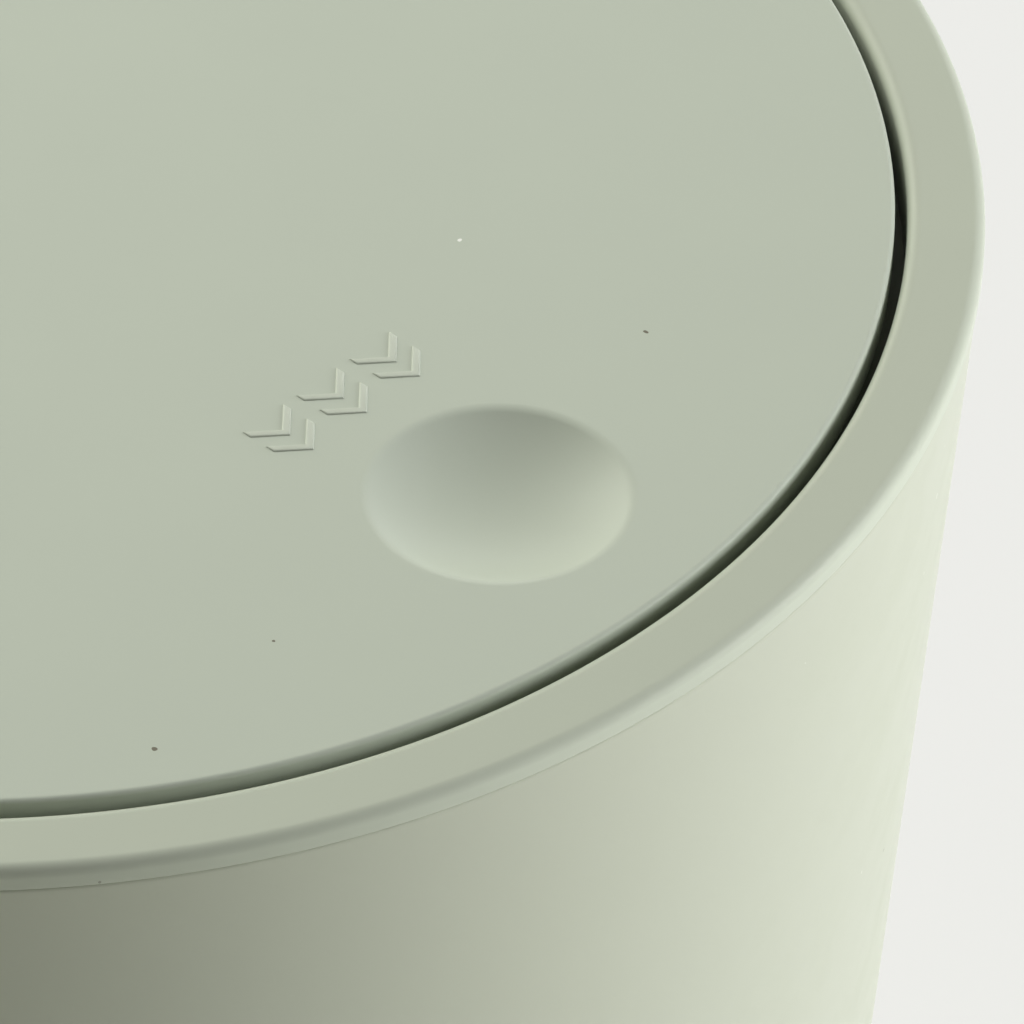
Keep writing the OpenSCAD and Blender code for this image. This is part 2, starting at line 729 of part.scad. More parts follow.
module pin_clips() {
    color(steel_colour) for (side = [-1, 1]) {
        translate([side * (clip_x + clip_t / 2) - clip_t / 2, hinge_y, hinge_z])
        rotate([0, 90, 0]) difference() {
            cylinder(r = clip_r, h = clip_t);
            translate([0, 0, -eps]) cylinder(r = pin_r - clip_seat, h = clip_t + 2 * eps);
            translate([0, -clip_mouth / 2, -eps]) cube([clip_r + eps, clip_mouth, clip_t + 2 * eps]);
        }
    }
}

// Where a straight leg to a point leaves the underside of a coil, as an angle
function leg_angle(point, r, way) = atan2(point[1], point[0]) + way * acos(r / norm(point));

// A hinge spring on the right-hand side: lid leg, coil and frame leg
module hinge_spring() {
    wire_r = spring_wire / 2;
    steps = 12;
    outer_x = knuckle_in_x - wire_r - small_gap;
    lid_tip = [-spring_lid_leg, panel_bottom_z - wire_r - small_gap - hinge_z];
    frame_edge = [window_reach, ledge_bottom_z - wire_r - small_gap - hinge_z];
    from = leg_angle(lid_tip, spring_r, 1) - 360;
    to = leg_angle(frame_edge, spring_r, -1) + 360 * (spring_turns - 1);
    frame_tip = frame_edge + spring_tail * unit(frame_edge - spring_r * [cos(to), sin(to)]);
    count = round(steps * (to - from) / 360);
    advance = spring_len - spring_wire;
    coil = [for (i = [0 : count]) let (a = from + (to - from) * i / count)
        [outer_x - advance * i / count, hinge_y + spring_r * cos(a), hinge_z + spring_r * sin(a)]];
    path = concat(
        [[coil[0][0], hinge_y + lid_tip[0], hinge_z + lid_tip[1]]],
        coil,
        [[coil[count][0], hinge_y + frame_tip[0], hinge_z + frame_tip[1]]]
    );
    wire(path, wire_r, 8, [1, 0, 0]);
}

module hinge_spring_right() {
    color(steel_colour) hinge_spring();
}

module hinge_spring_left() {
    color(steel_colour) mirror([1, 0, 0]) hinge_spring();
}

// The slot in the housing for the track pin, and the blind hole that the pin stands in
module track_slot() {
    swing = 1;
    foot_depth = 2.4;
    foot_z = track_tip_z - track_pin_len;
    slot_z = foot_z + foot_depth;
    translate([-track_r - swing, bore_r / 2, slot_z])
        cube([2 * (track_r + swing), housing_r, track_tip_z + track_r + swing - slot_z]);
    translate([0, track_pin_y, foot_z]) cylinder(r = track_r + small_gap, h = foot_depth + eps);
}

module latch_housing() {
    color(latch_colour) translate([0, latch_y, 0]) difference() {
        union() {
            translate([0, 0, housing_bottom_z]) cylinder(r = housing_r, h = housing_h);
            translate([0, 0, shelf_bottom_z - eps])
                cylinder(r = neck_r, h = neck_top_z - shelf_bottom_z + eps);
            translate([-ear_half_w, -ear_d / 2, shelf_bottom_z - ear_t])
                cube([2 * ear_half_w, ear_d, ear_t]);
        }
        translate([0, 0, housing_bottom_z - eps])
            cylinder(r = bore_r, h = neck_top_z - housing_bottom_z + 2 * eps);
        for (side = [-1, 1]) {
            translate([side * ear_screw_x, 0, shelf_bottom_z - ear_t - eps])
                cylinder(r = screw_r, h = ear_t + 2 * eps);
        }
        track_slot();
    }
}

module latch_cap() {
    cap_step = 1;
    color(latch_colour) translate([0, latch_y, housing_bottom_z]) {
        translate([0, 0, -cap_t]) cylinder(r = housing_r - cap_step, h = cap_t);
        translate([0, 0, -eps]) cylinder(r = bore_r, h = cap_spigot + eps);
    }
}

module latch_screws() {
    color(steel_colour) for (side = [-1, 1]) {
        translate([side * ear_screw_x, latch_y, shelf_bottom_z - ear_t]) pan_screw(latch_screw_len);
    }
}

// The heart-shaped island in the cam track; the pin rests in the notch at its top
module cam_island() {
    half_w = track_half_w / 2;
    horn_z = 0.5;
    notch_depth = 0.2;
    cheek_z = -0.6;
    point_z = -3;
    pin_underside_z = track_tip_z - track_r - small_gap;
    translate([0, 0, pin_underside_z]) rotate([90, 0, 0]) linear_extrude(2 * plunger_r, center = true)
        polygon([
            [0, -notch_depth], [half_w, horn_z], [half_w, cheek_z],
            [0, point_z], [-half_w, cheek_z], [-half_w, horn_z]
        ]);
}

module latch_plunger() {
    room_under_pin = 4.2;
    track_bottom_z = track_tip_z - track_r - room_under_pin;
    color(latch_colour) translate([0, latch_y, 0]) difference() {
        translate([0, 0, plunger_bottom_z]) cylinder(r = plunger_r, h = plunger_len);
        translate([0, 0, magnet_top_z - magnet_len]) cylinder(r = magnet_r, h = magnet_len);
        translate([0, 0, plunger_bottom_z - eps]) cylinder(r = spring_pocket_r, h = spring_pocket + eps);
        difference() {
            translate([-track_half_w, plunger_r - track_depth, track_bottom_z])
                cube([2 * track_half_w, plunger_r, track_h]);
            cam_island();
        }
    }
}

module latch_magnet() {
    color(magnet_colour) translate([0, latch_y, magnet_top_z - magnet_len])
        cylinder(r = magnet_r, h = magnet_len);
}

module latch_spring() {
    wire_r = latch_wire / 2;
    steps = 14;
    low = spigot_top_z + wire_r;
    high = spring_seat_z - wire_r;
    count = latch_turns * steps;
    path = [for (i = [0 : count]) let (a = 360 * i / steps)
        [latch_spring_r * cos(a), latch_y + latch_spring_r * sin(a), low + (high - low) * i / count]];
    color(steel_colour) wire(path, wire_r, 8, [0, 0, 1]);
}

module latch_track_pin() {
    tip_gap = 0.4;
    tip_y = plunger_r - track_depth + tip_gap;
    color(steel_colour) translate([0, latch_y, 0]) {
        translate([0, track_pin_y, track_tip_z - track_pin_len]) cylinder(r = track_r, h = track_pin_len);
        translate([0, track_pin_y, track_tip_z]) sphere(r = track_r);
        translate([0, tip_y, track_tip_z]) rotate([-90, 0, 0]) cylinder(r = track_r, h = track_pin_y - tip_y);
    }
}

body_shell();
grip_ring();
rim_ring();
lid_frame();
frame_screws();
lid_panel();
lid_inner_panel();
lid_screws();
strike_plate();
strike_screws();
hinge_pin();
pin_clips();
hinge_spring_left();
hinge_spring_right();
latch_housing();
latch_cap();
latch_screws();
latch_plunger();
latch_magnet();
latch_spring();
latch_track_pin();
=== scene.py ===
import bpy
import bmesh
import math
import numpy as np
from mathutils import Matrix, Vector


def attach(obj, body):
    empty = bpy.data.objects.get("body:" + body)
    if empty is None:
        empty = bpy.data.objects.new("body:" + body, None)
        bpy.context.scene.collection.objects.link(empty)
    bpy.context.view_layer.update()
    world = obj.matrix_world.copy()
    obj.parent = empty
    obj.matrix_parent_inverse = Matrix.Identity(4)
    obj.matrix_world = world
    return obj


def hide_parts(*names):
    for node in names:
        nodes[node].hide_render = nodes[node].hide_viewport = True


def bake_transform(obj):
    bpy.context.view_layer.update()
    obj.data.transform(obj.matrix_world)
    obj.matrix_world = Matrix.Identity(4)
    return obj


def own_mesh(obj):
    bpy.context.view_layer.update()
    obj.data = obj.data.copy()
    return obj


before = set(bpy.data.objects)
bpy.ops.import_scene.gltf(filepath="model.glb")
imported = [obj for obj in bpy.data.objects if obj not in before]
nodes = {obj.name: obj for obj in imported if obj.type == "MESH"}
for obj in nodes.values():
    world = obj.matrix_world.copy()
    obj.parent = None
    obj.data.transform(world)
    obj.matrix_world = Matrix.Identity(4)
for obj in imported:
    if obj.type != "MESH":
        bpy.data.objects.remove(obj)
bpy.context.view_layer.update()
scene = bpy.context.scene
millimetre = 0.001  # the pieces below are given in millimetres, the frame is in metres
sharpFrom = 40  # degrees between faces from which an edge stays sharp
print("stage: frame loaded,", len(nodes), "nodes")


def addObject(name, data):
    thing = bpy.data.objects.new(name, data)
    scene.collection.objects.link(thing)
    return thing


# the camera that the ellipses of the rim, the lid and the dimple were fitted with
cameraValues = {
    "place": (-0.45730, -0.47917, 0.77222),
    "right": (0.67367, -0.73891, 0.01304),
    "down": (-0.47914, -0.45013, -0.75353),
    "forward": (0.56267, 0.50139, -0.65728),
    "lens": 298.9,
    "sensor": 36.0,
    "farthest": 20.0,
}
cameraData = bpy.data.cameras.new("photoCamera")
cameraData.lens = cameraValues["lens"]
cameraData.sensor_width = cameraValues["sensor"]
cameraData.clip_end = cameraValues["farthest"]
cameraObject = addObject("photoCamera", cameraData)
turn = Matrix((
    cameraValues["right"],
    -Vector(cameraValues["down"]),
    -Vector(cameraValues["forward"]),
)).transposed()
cameraObject.matrix_world = Matrix.Translation(cameraValues["place"]) @ turn.to_4x4()
scene.camera = cameraObject
print("stage: camera placed")


def arcPoints(centreX, centreY, radius, start, end, count):
    angles = np.radians(np.linspace(start, end, count + 1))
    return [(centreX + radius * math.cos(a), centreY + radius * math.sin(a)) for a in angles]


def workObject(name, work):
    # the object that holds a finished bmesh
    mesh = bpy.data.meshes.new(name)
    work.to_mesh(mesh)
    work.free()
    return addObject(name, mesh)


def smoothMesh(mesh):
    mesh.shade_smooth()
    mesh.set_sharp_from_angle(angle=math.radians(sharpFrom))


def newMesh(name, points, faces):
    mesh = bpy.data.meshes.new(name)
    mesh.from_pydata([tuple(millimetre * c for c in p) for p in points], [], faces)
    work = bmesh.new()
    work.from_mesh(mesh)
    bmesh.ops.recalc_face_normals(work, faces=work.faces)
    work.to_mesh(mesh)
    work.free()
    smoothMesh(mesh)
    return addObject(name, mesh)


def loftFaces(ringCount, ringSize, closed=False):
    # quads between rings that have the same number of points
    faces = []
    rows = ringCount if closed else ringCount - 1
    for i in range(rows):
        low = i * ringSize
        high = ((i + 1) % ringCount) * ringSize
        for k in range(ringSize):
            n = (k + 1) % ringSize
            faces.append((low + k, low + n, high + n, high + k))
    return faces


def latheMesh(name, profile, segments, centre=(0, 0)):
    # turns a profile of (radius, height) about the upright axis; radius 0 at an end closes it with a pole
    turns = [2 * math.pi * k / segments for k in range(segments)]
    poleStart = profile[0][0] == 0
    poleEnd = profile[-1][0] == 0
    rings = [p for p in profile if p[0] > 0]
    points = []
    for r, z in rings:
        points += [(centre[0] + r * math.cos(a), centre[1] + r * math.sin(a), z) for a in turns]
    faces = loftFaces(len(rings), segments, closed=not (poleStart or poleEnd))
    if poleStart:
        pole = len(points)
        points.append((centre[0], centre[1], profile[0][1]))
        faces += [(pole, (k + 1) % segments, k) for k in range(segments)]
    if poleEnd:
        pole = len(points)
        last = (len(rings) - 1) * segments
        points.append((centre[0], centre[1], profile[-1][1]))
        faces += [(pole, last + k, last + (k + 1) % segments) for k in range(segments)]
    return newMesh(name, points, faces)


def joinMeshes(name, pieces):
    work = bmesh.new()
    for piece in pieces:
        work.from_mesh(piece.data)
        bpy.data.objects.remove(piece)
    joined = workObject(name, work)
    smoothMesh(joined.data)
    return joined


def dress(piece, material):
    piece.data.materials.clear()
    piece.data.materials.append(material)


def newGroup(name, inputs, outputs):
    tree = bpy.data.node_groups.new(name, "ShaderNodeTree")
    for label, kind, value in inputs:
        socket = tree.interface.new_socket(name=label, in_out="INPUT", socket_type=kind)
        socket.default_value = value
    for label, kind in outputs:
        tree.interface.new_socket(name=label, in_out="OUTPUT", socket_type=kind)
    return tree, tree.nodes.new("NodeGroupInput"), tree.nodes.new("NodeGroupOutput")


def addMath(tree, operation, a, b, clamp=False):
    node = tree.nodes.new("ShaderNodeMath")
    node.operation = operation
    node.use_clamp = clamp
    for k, value in enumerate((a, b)):
        if isinstance(value, (int, float)):
            node.inputs[k].default_value = value
        else:
            tree.links.new(value, node.inputs[k])
    return node.outputs[0]


def addRange(tree, value, fromLow, fromHigh, toLow, toHigh):
    node = tree.nodes.new("ShaderNodeMapRange")
    node.interpolation_type = "SMOOTHSTEP"
    tree.links.new(value, node.inputs["Value"])
    node.inputs["From Min"].default_value = fromLow
    node.inputs["From Max"].default_value = fromHigh
    node.inputs["To Min"].default_value = toLow
    node.inputs["To Max"].default_value = toHigh
    return node.outputs["Result"]


def addNoise(tree, place, scale, detail, roughness=0.5):
    node = tree.nodes.new("ShaderNodeTexNoise")
    tree.links.new(place, node.inputs["Vector"])
    node.inputs["Scale"].default_value = scale
    node.inputs["Detail"].default_value = detail
    node.inputs["Roughness"].default_value = roughness
    return node.outputs["Fac"]


def addTint(tree, colour, factor, tint):
    node = tree.nodes.new("ShaderNodeMix")
    node.data_type = "RGBA"
    tree.links.new(factor, node.inputs["Factor"])
    tree.links.new(colour, node.inputs["A"])
    tree.links.new(tint, node.inputs["B"])
    return node.outputs["Result"]


def scaleColour(tree, colour, factor):
    node = tree.nodes.new("ShaderNodeVectorMath")
    node.operation = "SCALE"
    tree.links.new(colour, node.inputs[0])
    tree.links.new(factor, node.inputs["Scale"])
    return node.outputs[0]


mouldedValues = {
    "cloudScale": 14.0,
    "blotchScale": 55.0,
    "grainScale": 2600.0,
    "speckScale": 125.0,
    "speckShare": 0.7,
    "speckSize": 0.038,
    "speckRough": 0.2,
    "speckBend": 0.0012,
    "bendScale": 420.0,
    "darkSpeck": (0.16, 0.15, 0.11, 1),
    "paleSpeck": (0.86, 0.87, 0.82, 1),
    "smearFrom": (0.35, 0.75),
    "smearTo": (-0.05, 0.06),
    "grainHeight": 0.00004,
}


def buildMouldedGroup(values):
    # plastic from a mould: a slight drift in tone, a fine grain, faint smears and a few specks of dust
    tree, start, end = newGroup(
        "mouldedSkin",
        [
            ("Tone", "NodeSocketColor", (0.5, 0.5, 0.5, 1)),
            ("Spread", "NodeSocketFloat", 0.04),
            ("Base Roughness", "NodeSocketFloat", 0.45),
            ("Grain Depth", "NodeSocketFloat", 0.05),
            ("Dust", "NodeSocketFloat", 0.5),
        ],
        [
            ("Tone", "NodeSocketColor"),
            ("Roughness", "NodeSocketFloat"),
            ("Normal", "NodeSocketVector"),
        ],
    )
    place = tree.nodes.new("ShaderNodeTexCoord").outputs["Object"]
    cloud = addNoise(tree, place, values["cloudScale"], 3)
    blotch = addNoise(tree, place, values["blotchScale"], 4, 0.6)
    grain = addNoise(tree, place, values["grainScale"], 2)
    wide = addMath(tree, "MULTIPLY", cloud, 0.6)
    mixed = addMath(tree, "ADD", wide, addMath(tree, "MULTIPLY", blotch, 0.4))
    centred = addMath(tree, "SUBTRACT", mixed, 0.5)
    lift = addMath(tree, "ADD", addMath(tree, "MULTIPLY", centred, start.outputs["Spread"]), 1.0)
    toned = scaleColour(tree, start.outputs["Tone"], lift)

    cells = tree.nodes.new("ShaderNodeTexVoronoi")
    cells.inputs["Scale"].default_value = values["speckScale"]
    cells.inputs["Randomness"].default_value = 1.0
    bend = tree.nodes.new("ShaderNodeTexNoise")
    bend.inputs["Scale"].default_value = values["bendScale"]
    tree.links.new(place, bend.inputs["Vector"])
    shift = tree.nodes.new("ShaderNodeVectorMath")
    shift.operation = "MULTIPLY_ADD"
    shift.inputs[1].default_value = (values["speckBend"],) * 3
    tree.links.new(bend.outputs["Color"], shift.inputs[0])
    tree.links.new(place, shift.inputs[2])
    tree.links.new(shift.outputs[0], cells.inputs["Vector"])
    chance = tree.nodes.new("ShaderNodeSeparateColor")
    tree.links.new(cells.outputs["Color"], chance.inputs[0])
    picked = addMath(tree, "LESS_THAN", chance.outputs[0], values["speckShare"])
    size = addMath(tree, "MULTIPLY", chance.outputs[2], values["speckSize"])
    near = addMath(tree, "LESS_THAN", cells.outputs["Distance"], size)
    speck = addMath(tree, "MULTIPLY", addMath(tree, "MULTIPLY", picked, near), start.outputs["Dust"])
    paleShare = addMath(tree, "GREATER_THAN", chance.outputs[1], 0.5)
    tint = tree.nodes.new("ShaderNodeMix")
    tint.data_type = "RGBA"
    tint.inputs["A"].default_value = values["darkSpeck"]
    tint.inputs["B"].default_value = values["paleSpeck"]
    tree.links.new(paleShare, tint.inputs["Factor"])
    dusted = addTint(tree, toned, speck, tint.outputs["Result"])
    tree.links.new(dusted, end.inputs["Tone"])

    smear = addRange(tree, blotch, *values["smearFrom"], *values["smearTo"])
    rough = addMath(tree, "ADD", start.outputs["Base Roughness"], smear)
    dull = addMath(tree, "MULTIPLY", speck, values["speckRough"])
    tree.links.new(addMath(tree, "ADD", rough, dull, True), end.inputs["Roughness"])
    bump = tree.nodes.new("ShaderNodeBump")
    bump.inputs["Distance"].default_value = values["grainHeight"]
    tree.links.new(start.outputs["Grain Depth"], bump.inputs["Strength"])
    tree.links.new(grain, bump.inputs["Height"])
    tree.links.new(bump.outputs["Normal"], end.inputs["Normal"])
    return tree


steelValues = {
    "streakScale": (900.0, 900.0, 60.0),
    "stainScale": 240.0,
    "stainDepth": 0.3,
    "darkest": 0.82,
    "streakFrom": (0.3, 0.7),
    "streakTo": (-0.07, 0.09),
    "streakHeight": 0.00003,
}


def buildSteelGroup(values):
    # drawn or rolled steel: streaks along one way and faint stains
    tree, start, end = newGroup(
        "workedSteel",
        [
            ("Tone", "NodeSocketColor", (0.6, 0.6, 0.6, 1)),
            ("Base Roughness", "NodeSocketFloat", 0.3),
            ("Streak Depth", "NodeSocketFloat", 0.15),
        ],
        [
            ("Tone", "NodeSocketColor"),
            ("Roughness", "NodeSocketFloat"),
            ("Normal", "NodeSocketVector"),
        ],
    )
    place = tree.nodes.new("ShaderNodeTexCoord").outputs["Object"]
    stretch = tree.nodes.new("ShaderNodeMapping")
    stretch.inputs["Scale"].default_value = values["streakScale"]
    tree.links.new(place, stretch.inputs["Vector"])
    streak = addNoise(tree, stretch.outputs["Vector"], 1.0, 3)
    stain = addNoise(tree, place, values["stainScale"], 4)
    stained = addMath(tree, "MULTIPLY", stain, values["stainDepth"])
    lift = addMath(tree, "ADD", stained, values["darkest"])
    tree.links.new(scaleColour(tree, start.outputs["Tone"], lift), end.inputs["Tone"])
    spread = addRange(tree, streak, *values["streakFrom"], *values["streakTo"])
    rough = addMath(tree, "ADD", start.outputs["Base Roughness"], spread, True)
    tree.links.new(rough, end.inputs["Roughness"])
    bump = tree.nodes.new("ShaderNodeBump")
    bump.inputs["Distance"].default_value = values["streakHeight"]
    tree.links.new(start.outputs["Streak Depth"], bump.inputs["Strength"])
    tree.links.new(streak, bump.inputs["Height"])
    tree.links.new(bump.outputs["Normal"], end.inputs["Normal"])
    return tree


mouldedGroup = buildMouldedGroup(mouldedValues)
steelGroup = buildSteelGroup(steelValues)


def groupMaterial(name, group, settings, shaderSettings):
    material = bpy.data.materials.new(name)
    material.use_nodes = True
    tree = material.node_tree
    shader = tree.nodes["Principled BSDF"]
    skin = tree.nodes.new("ShaderNodeGroup")
    skin.node_tree = group
    for label, value in settings.items():
        skin.inputs[label].default_value = value
    for label, value in shaderSettings.items():
        shader.inputs[label].default_value = value
    tree.links.new(skin.outputs["Tone"], shader.inputs["Base Color"])
    tree.links.new(skin.outputs["Roughness"], shader.inputs["Roughness"])
    tree.links.new(skin.outputs["Normal"], shader.inputs["Normal"])
    return material


# each finish: tone, then how far it drifts, its roughness, its grain and its dust
plasticIor = 1.47
plasticFinishes = {
    "lidPlastic": ((0.497, 0.545, 0.456), 0.05, 0.33, 0.12, 1.0),
    # the mark's plastic is the lid's tone made lighter: a painted highlight for the light that the raised
    # ridges catch
    "markPlastic": ((0.548, 0.592, 0.5), 0.05, 0.36, 0.12, 0.0),
    "rimPlastic": ((0.477, 0.517, 0.422), 0.05, 0.335, 0.12, 0.6),
    "shellPlastic": ((0.457, 0.485, 0.39), 0.05, 0.38, 0.12, 0.4),
    "innerPlastic": ((0.45, 0.49, 0.40), 0.06, 0.5, 0.3, 0.4),
    "framePlastic": ((0.38, 0.42, 0.33), 0.06, 0.5, 0.3, 0.4),
    "gripRubber": ((0.055, 0.06, 0.05), 0.2, 0.75, 0.8, 0.3),
    "latchPlastic": ((0.66, 0.65, 0.60), 0.05, 0.42, 0.25, 0.2),
    "plungerPlastic": ((0.58, 0.58, 0.54), 0.05, 0.36, 0.2, 0.2),
}
# each metal: tone, roughness and depth of its streaks
metalFinishes = {
    "screwSteel": ((0.58, 0.57, 0.54), 0.32, 0.2),
    "plateSteel": ((0.62, 0.62, 0.61), 0.28, 0.5),
    "pinSteel": ((0.62, 0.62, 0.62), 0.24, 0.3),
    "springSteel": ((0.47, 0.47, 0.48), 0.3, 0.25),
    "magnetMetal": ((0.6, 0.6, 0.62), 0.14, 0.1),
}
finish = {}
for finishName, (tone, spread, roughness, grain, dust) in plasticFinishes.items():
    settings = {"Tone": (*tone, 1), "Spread": spread, "Base Roughness": roughness, "Grain Depth": grain}
    settings["Dust"] = dust
    finish[finishName] = groupMaterial(finishName, mouldedGroup, settings, {"IOR": plasticIor})
for finishName, (tone, roughness, streak) in metalFinishes.items():
    settings = {"Tone": (*tone, 1), "Base Roughness": roughness, "Streak Depth": streak}
    finish[finishName] = groupMaterial(finishName, steelGroup, settings, {"Metallic": 1.0})
# solids that are shown as the frame gives them
nodeFinishes = {
    "grip_ring": "gripRubber",
    "lid_frame": "framePlastic",
    "lid_inner_panel": "innerPlastic",
    "strike_plate": "plateSteel",
    "hinge_pin": "pinSteel",
    "pin_clips": "pinSteel",
    "latch_housing": "latchPlastic",
    "latch_cap": "latchPlastic",
    "latch_plunger": "plungerPlastic",
    "latch_magnet": "magnetMetal",
    "latch_track_pin": "springSteel",
}
for nodeName, finishName in nodeFinishes.items():
    for materialSlot in nodes[nodeName].material_slots:
        materialSlot.material = finish[finishName]
print("stage: materials made")

tubValues = {
    "topRadius": 100.0,
    "baseRadius": 85.0,
    "height": 236.6,
    "wall": 2.4,
    "floor": 3.6,
    "lift": 1.2,
    "footRound": 3.0,
    "insideRound": 5.0,
    "edgeRound": 0.45,
    "footMargin": 0.2,
    "edgeMargin": 0.4,
    "lean": 4,  # degrees, about the wall's taper
    "grooveIn": 73.5,
    "grooveOut": 79.5,
    "grooveDepth": 2.0,
    "wallRings": 24,
    "segments": 480,
}


def tubRadius(z):
    share = z / tubValues["height"]
    return tubValues["baseRadius"] + (tubValues["topRadius"] - tubValues["baseRadius"]) * share


def buildTub(values):
    # one profile from the underside, up the outside, over the edge and down to the floor inside
    top = values["height"]
    low = values["lift"]
    foot = values["footRound"]
    edge = values["edgeRound"]
    inside = values["insideRound"]
    lean = values["lean"]
    wallTop = top - edge - values["edgeMargin"]
    floorTop = low + values["floor"]
    grooveTop = low + values["grooveDepth"]
    innerFoot = tubRadius(floorTop + inside) - values["wall"]
    innerTop = tubRadius(top) - values["wall"]
    profile = [(0, low), (values["grooveIn"], low), (values["grooveIn"], grooveTop)]
    profile += [(values["grooveOut"], grooveTop), (values["grooveOut"], low)]
    profile += arcPoints(tubRadius(low) - foot, low + foot, foot, -90, -lean, 8)
    outside = np.linspace(low + foot + values["footMargin"], wallTop, values["wallRings"])
    profile += [(tubRadius(z), z) for z in outside]
    profile += arcPoints(tubRadius(top) - edge, top - edge, edge, 0, 90, 6)
    profile += arcPoints(innerTop + edge, top - edge, edge, 90, 180, 6)
    downInside = np.linspace(wallTop, floorTop + inside, values["wallRings"])
    profile += [(tubRadius(z) - values["wall"], z) for z in downInside]
    profile += arcPoints(innerFoot - inside, floorTop + inside, inside, -lean, -90, 8)
    profile += [(0, floorTop)]
    return latheMesh("tubShell", profile, values["segments"])


tubShell = buildTub(tubValues)
dress(tubShell, finish["shellPlastic"])
print("stage: tub made")

rimValues = {
    "outerRadius": 100.17,
    "innerRadius": 92.4,
    "topZ": 239.2,
    "bottomZ": 236.6,
    "skirtBottomZ": 230.8,
    "skirtThickness": 2.2,
    "innerRound": 1.35,
    "outerRound": 1.2,
    "bottomRound": 0.25,
    "roundMargin": 0.2,
    "deckY": 52.0,
    "deckLip": 2.0,
    "deckOverlap": 0.2,
    "lipInset": 3,
    "flatInset": 0.15,
    "notchHalfWidth": 33.3,
    "notchY": 72.4,
    "deckRound": 0.45,
    "frontMargin": 0.6,
    "cornerRound": 1.2,
    "bossCount": 6,
    "bossRing": 94.58,
    "bossRadius": 2.25,
    "bossSegments": 32,
    "segments": 720,
}


def settleOrder(work):
    # sorts by place, so that each run gives the same order
    slant = Vector((1.0, 1.37, 2.71))
    work.verts.sort(key=lambda v: v.co.dot(slant))
    work.faces.sort(key=lambda f: f.calc_center_median().dot(slant))


def roundEdges(work, edges, radius):
    soft = radius * millimetre
    bmesh.ops.bevel(work, geom=edges, offset=soft, segments=4, profile=0.5, affect="EDGES")


def slabMesh(name, outline, lowZ, highZ, rounded, radius):
    # a flat plate; the top edges whose middle passes the test are rounded
    work = bmesh.new()
    base = [work.verts.new((x * millimetre, y * millimetre, lowZ * millimetre)) for x, y in outline]
    face = work.faces.new(base)
    raised = bmesh.ops.extrude_face_region(work, geom=[face])
    lifted = [v for v in raised["geom"] if isinstance(v, bmesh.types.BMVert)]
    bmesh.ops.translate(work, verts=lifted, vec=(0, 0, (highZ - lowZ) * millimetre))
    bmesh.ops.recalc_face_normals(work, faces=work.faces)
    edges = []
    for edge in work.edges:
        ends = [v.co / millimetre for v in edge.verts]
        onTop = all(abs(p.z - highZ) < 0.01 for p in ends)
        if onTop and rounded((ends[0] + ends[1]) / 2):
            edges.append(edge)
    if edges:
        roundEdges(work, edges, radius)
    settleOrder(work)
    slab = workObject(name, work)
    slab.data.shade_smooth()
    return slab


def roundedCorner(corner, before, after, radius, count=6):
    # a quadratic curve that starts and ends at the given distance from the corner
    corner, before, after = Vector(corner), Vector(before), Vector(after)
    start = corner + (before - corner).normalized() * radius
    end = corner + (after - corner).normalized() * radius
    points = []
    for i in range(count + 1):
        t = i / count
        points.append(tuple((1 - t) ** 2 * start + 2 * t * (1 - t) * corner + t ** 2 * end))
    return points


def buildRim(values):
    # the turned ring, the deck behind the lid with its notch, the deck's hanging lips and the screw bosses
    outer = values["outerRadius"]
    inner = values["innerRadius"]
    top = values["topZ"]
    low = values["bottomZ"]
    skirt = inner + values["skirtThickness"]
    tiny = values["bottomRound"]
    inRound = values["innerRound"]
    outRound = values["outerRound"]
    profile = [(inner, values["skirtBottomZ"]), (inner, top - inRound - values["roundMargin"])]
    profile += arcPoints(inner + inRound, top - inRound, inRound, 180, 90, 12)
    inset = values["flatInset"]
    profile += [(inner + inRound + inset, top), ((inner + outer) / 2, top), (outer - outRound - inset, top)]
    profile += arcPoints(outer - outRound, top - outRound, outRound, 90, 0, 14)
    profile += arcPoints(outer - tiny, low + tiny, tiny, 0, -90, 5)
    profile += [(skirt, low), (skirt, values["skirtBottomZ"])]
    ring = latheMesh("rimLathe", profile, values["segments"])

    deckRadius = inner + inRound
    startAngle = math.asin(values["deckY"] / deckRadius)
    step = 2 * math.pi / values["segments"]
    first = math.ceil(startAngle / step)
    arc = [first + i for i in range(values["segments"] // 2 - 2 * first + 1)]
    outline = [(deckRadius * math.cos(k * step), deckRadius * math.sin(k * step)) for k in arc]
    edgeX = math.sqrt(deckRadius ** 2 - values["deckY"] ** 2)
    half = values["notchHalfWidth"]
    y, back = values["deckY"], values["notchY"]
    r = values["cornerRound"]
    outline += [(-edgeX, y)]
    outline += roundedCorner((-half, y), (-edgeX, y), (-half, back), r)
    outline += roundedCorner((-half, back), (-half, y), (half, back), r)
    outline += roundedCorner((half, back), (-half, back), (half, y), r)
    outline += roundedCorner((half, y), (half, back), (edgeX, y), r)
    outline += [(edgeX, y)]

    def isFront(p):
        return math.hypot(p.x, p.y) < deckRadius - values["frontMargin"]

    deck = slabMesh("rimDeck", outline, low, top, isFront, values["deckRound"])
    lipEnd = -edgeX + values["lipInset"]
    lipBack = y + values["deckLip"]
    hidden = low + values["deckOverlap"]
    wall = [(lipEnd, y), (-half - r, y), (-half - r, lipBack), (lipEnd, lipBack)]
    walls = []
    for side in (1, -1):
        plan = [(side * px, py) for px, py in wall]
        walls.append(slabMesh("deckWall", plan, values["skirtBottomZ"], hidden, lambda p: False, 0))
    bosses = []
    for i in range(values["bossCount"]):
        angle = 2 * math.pi * i / values["bossCount"]
        centre = (values["bossRing"] * math.cos(angle), values["bossRing"] * math.sin(angle))
        reach = values["bossRadius"]
        foot = values["skirtBottomZ"]
        boss = [(0, foot), (reach, foot), (reach, hidden), (0, hidden)]
        bosses.append(latheMesh("rimBoss", boss, values["bossSegments"], centre))
    return joinMeshes("rimRing", [ring, deck] + walls + bosses)


